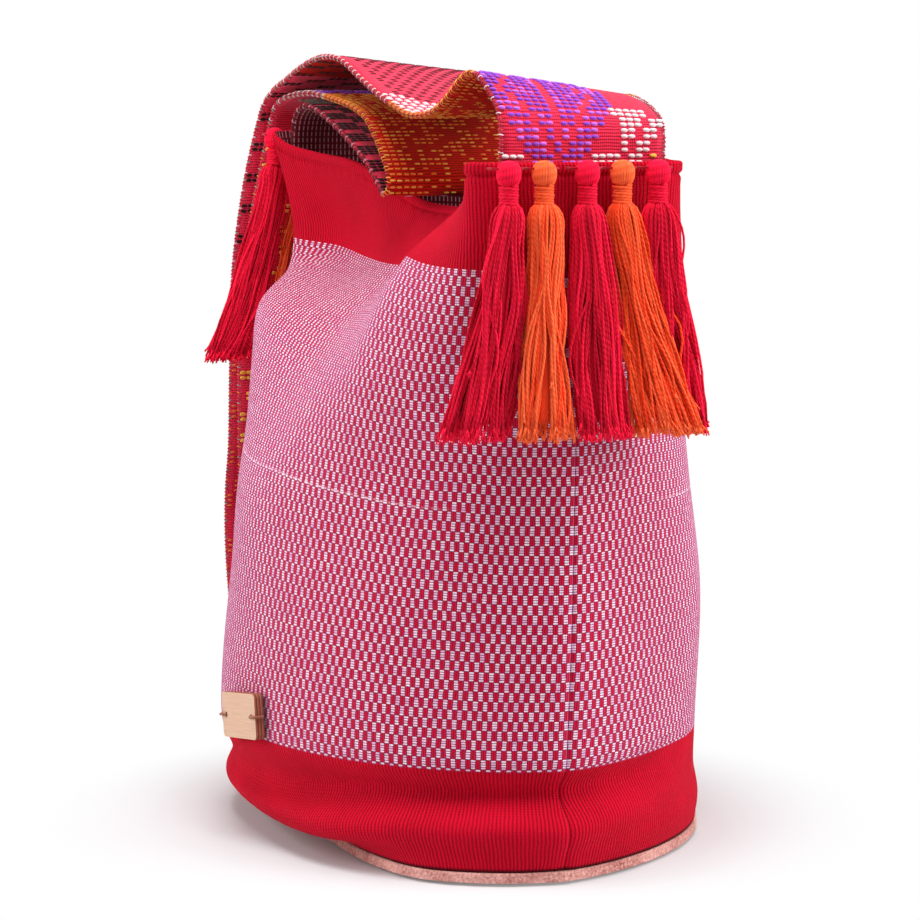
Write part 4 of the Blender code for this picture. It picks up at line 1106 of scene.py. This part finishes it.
def build():
    check = woven_check()
    band_look = ribbed_band("ribbed_cotton_band", "#D2082A", "#8E0016", RIB_PITCH, "#FF6A86", sheen=0.06)
    reverse = shaded_cloth_reverse()
    strap_looks = [
        ribbed_band("warp_faced_strap", "#EE2C4C", "#AE0C30", STRAP_RIB_PITCH, "#FFA8C0",
                    along_ribs=False, sheen=0.4),
        ribbed_band("warp_faced_strap_back", "#D4200E", "#8C0606", STRAP_RIB_PITCH, "#FF9A80",
                    along_ribs=False, sheen=0.1),
        reverse]
    looks = {"red": yarn("cotton_yarn_red", "#FF1842", "#A80018", "#FF8098"),
             "orange": yarn("cotton_yarn_orange", "#FF6E3E", "#E42604", "#FFB090")}
    looks["tie"] = plain("cotton_thread_red", "#B40822")
    front = panel("front_cloth", FRONT, [band_look, check, reverse])
    back = panel("back_cloth", BACK, [band_look, check, reverse])
    band = Band()
    ribbon = strap(band, strap_looks)
    floats = {name: plain("brocade_yarn_" + name, code) for name, code in BROCADE_YARNS.items()}
    floats["coral"] = plain("selvedge_yarn_coral", "#D93A48")
    woven = [brocade("strap_brocade_" + name, band, face, floats)
             for name, face in (("outer", OUTER), ("inner", INNER))]
    sewn = overcast(band, floats)
    for end in (1, -1):
        for order, row in enumerate(TASSEL_ROWS[end]):
            tassel(end, order, row, looks)


def plain(name, code):
    """Twisted cotton thread, fine enough that only a faint mottle shows."""
    look, tree = new_tree(name)
    place = put(tree, "TexCoord")
    noise = put(tree, "TexNoise", place.outputs["Object"], None, 1500.0)
    shadow = tuple(0.65 * c for c in linear(code)[:3]) + (1.0,)
    colour = put(tree, "Mix", data_type="RGBA", sockets={0: noise, 6: shadow, 7: code})
    finish_look(colour, noise, 0.85, 0.1 * MM, sheen=0.15)
    return look


def dress_cad():
    """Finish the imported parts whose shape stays."""
    wear("base_sole", suede())
    corners = np.array([v.co for v in nodes["tag"].data.vertices])
    centred = corners - corners.mean(0)
    values, axes = np.linalg.eigh(centred.T @ centred)
    out = Vector(axes[:, 0])
    if out.y > 0:
        out = -out
    up = Vector(axes[:, 1])
    if up.z < 0:
        up = -up
    wear("tag", plywood(out, up))
    thread = plain("sewing_thread_tan", "#A06450")
    for name in ("tag_thread_left", "tag_thread_right"):
        wear(name, thread)


def white_to(tree):
    """1 for the rays that should meet plain white: the camera's, and those mirrored or let through."""
    rays = put(tree, "LightPath")
    seen = put(tree, "Math", rays.outputs["Is Camera Ray"], rays.outputs["Is Glossy Ray"],
               operation="MAXIMUM")
    return put(tree, "Math", seen, rays.outputs["Is Transmission Ray"], operation="MAXIMUM")


# The photograph's camera, as fitted: lengths in metres, focal length in pixels of its width
CAMERA_AZIMUTH = math.radians(21.4)
CAMERA_DISTANCE = 1.40
CAMERA_HEIGHT = 0.33
AIM_HEIGHT = 0.1636
FOCAL_PIXELS = 3105
PHOTO_WIDTH = 920
SENSOR_WIDTH = 36
LAMP_SIZE = 0.9
LAMP_AIM = Vector((0, 0, 0.15))
FLOOR_HALF = 6.0


def studio():
    """White sweep, a soft box at each side, a top light and the camera of the photograph."""
    towards = Vector((math.cos(CAMERA_AZIMUTH), -math.sin(CAMERA_AZIMUTH), 0))
    right = Vector((math.sin(CAMERA_AZIMUTH), math.cos(CAMERA_AZIMUTH), 0))
    data = bpy.data.cameras.new("camera")
    data.sensor_width = SENSOR_WIDTH
    data.lens = FOCAL_PIXELS / PHOTO_WIDTH * SENSOR_WIDTH
    place = towards * CAMERA_DISTANCE + Vector((0, 0, CAMERA_HEIGHT))
    bpy.context.scene.camera = set_up("camera", data, place, Vector((0, 0, AIM_HEIGHT)))
    lamps = [("left_box", towards * 0.12 - right * 1.2 + Vector((0, 0, 0.6)), 12.5),
             ("right_box", towards * 0.28 + right * 1.2 + Vector((0, 0, 0.7)), 17.0),
             ("top_box", towards * 0.40 + Vector((0, 0, 1.5)), 22.0)]
    for name, place, watts in lamps:
        light = bpy.data.lights.new(name, "AREA")
        light.shape = "SQUARE"
        light.size = LAMP_SIZE
        light.energy = watts
        set_up(name, light, place, LAMP_AIM)
    world = bpy.data.worlds.new("white_room")
    world.use_nodes = True
    tree = world.node_tree
    background = tree.nodes["Background"]
    strength = put(tree, "MapRange", white_to(tree), 0.0, 1.0, 0.16, 1.0)
    tree.links.new(strength.outputs[0], background.inputs[1])
    background.inputs[0].default_value = (1.0, 1.0, 1.0, 1.0)
    bpy.context.scene.world = world
    look, tree = new_tree("white_paper_sweep")
    shader = tree.nodes["Principled BSDF"]
    shader.inputs["Base Color"].default_value = linear("#D4D4D6")
    shader.inputs["Roughness"].default_value = 0.9
    # Past the shadow the paper is plain white to the camera, so that no horizon shows
    reach = put(tree, "VectorMath", put(tree, "TexCoord").outputs["Object"], operation="LENGTH")
    far = put(tree, "MapRange", reach, 0.10, 0.20, 0.0, 1.0, interpolation_type="SMOOTHSTEP")
    seen = put(tree, "Math", far, white_to(tree), operation="MULTIPLY")
    glow = put(tree, "Emission", (1.0, 1.0, 1.0, 1.0), 1.0)
    mixed = put(tree, "MixShader", seen, shader, glow)
    tree.links.new(mixed.outputs[0], tree.nodes["Material Output"].inputs[0])
    mesh = bpy.data.meshes.new("floor")
    mesh.from_pydata([(x * FLOOR_HALF, y * FLOOR_HALF, 0) for x, y in ((-1, -1), (1, -1), (1, 1), (-1, 1))],
                     [], [(0, 1, 2, 3)])
    mesh.materials.append(look)
    set_up("floor", mesh)
    bpy.context.scene.view_settings.view_transform = "Standard"


studio()
build()
dress_cad()
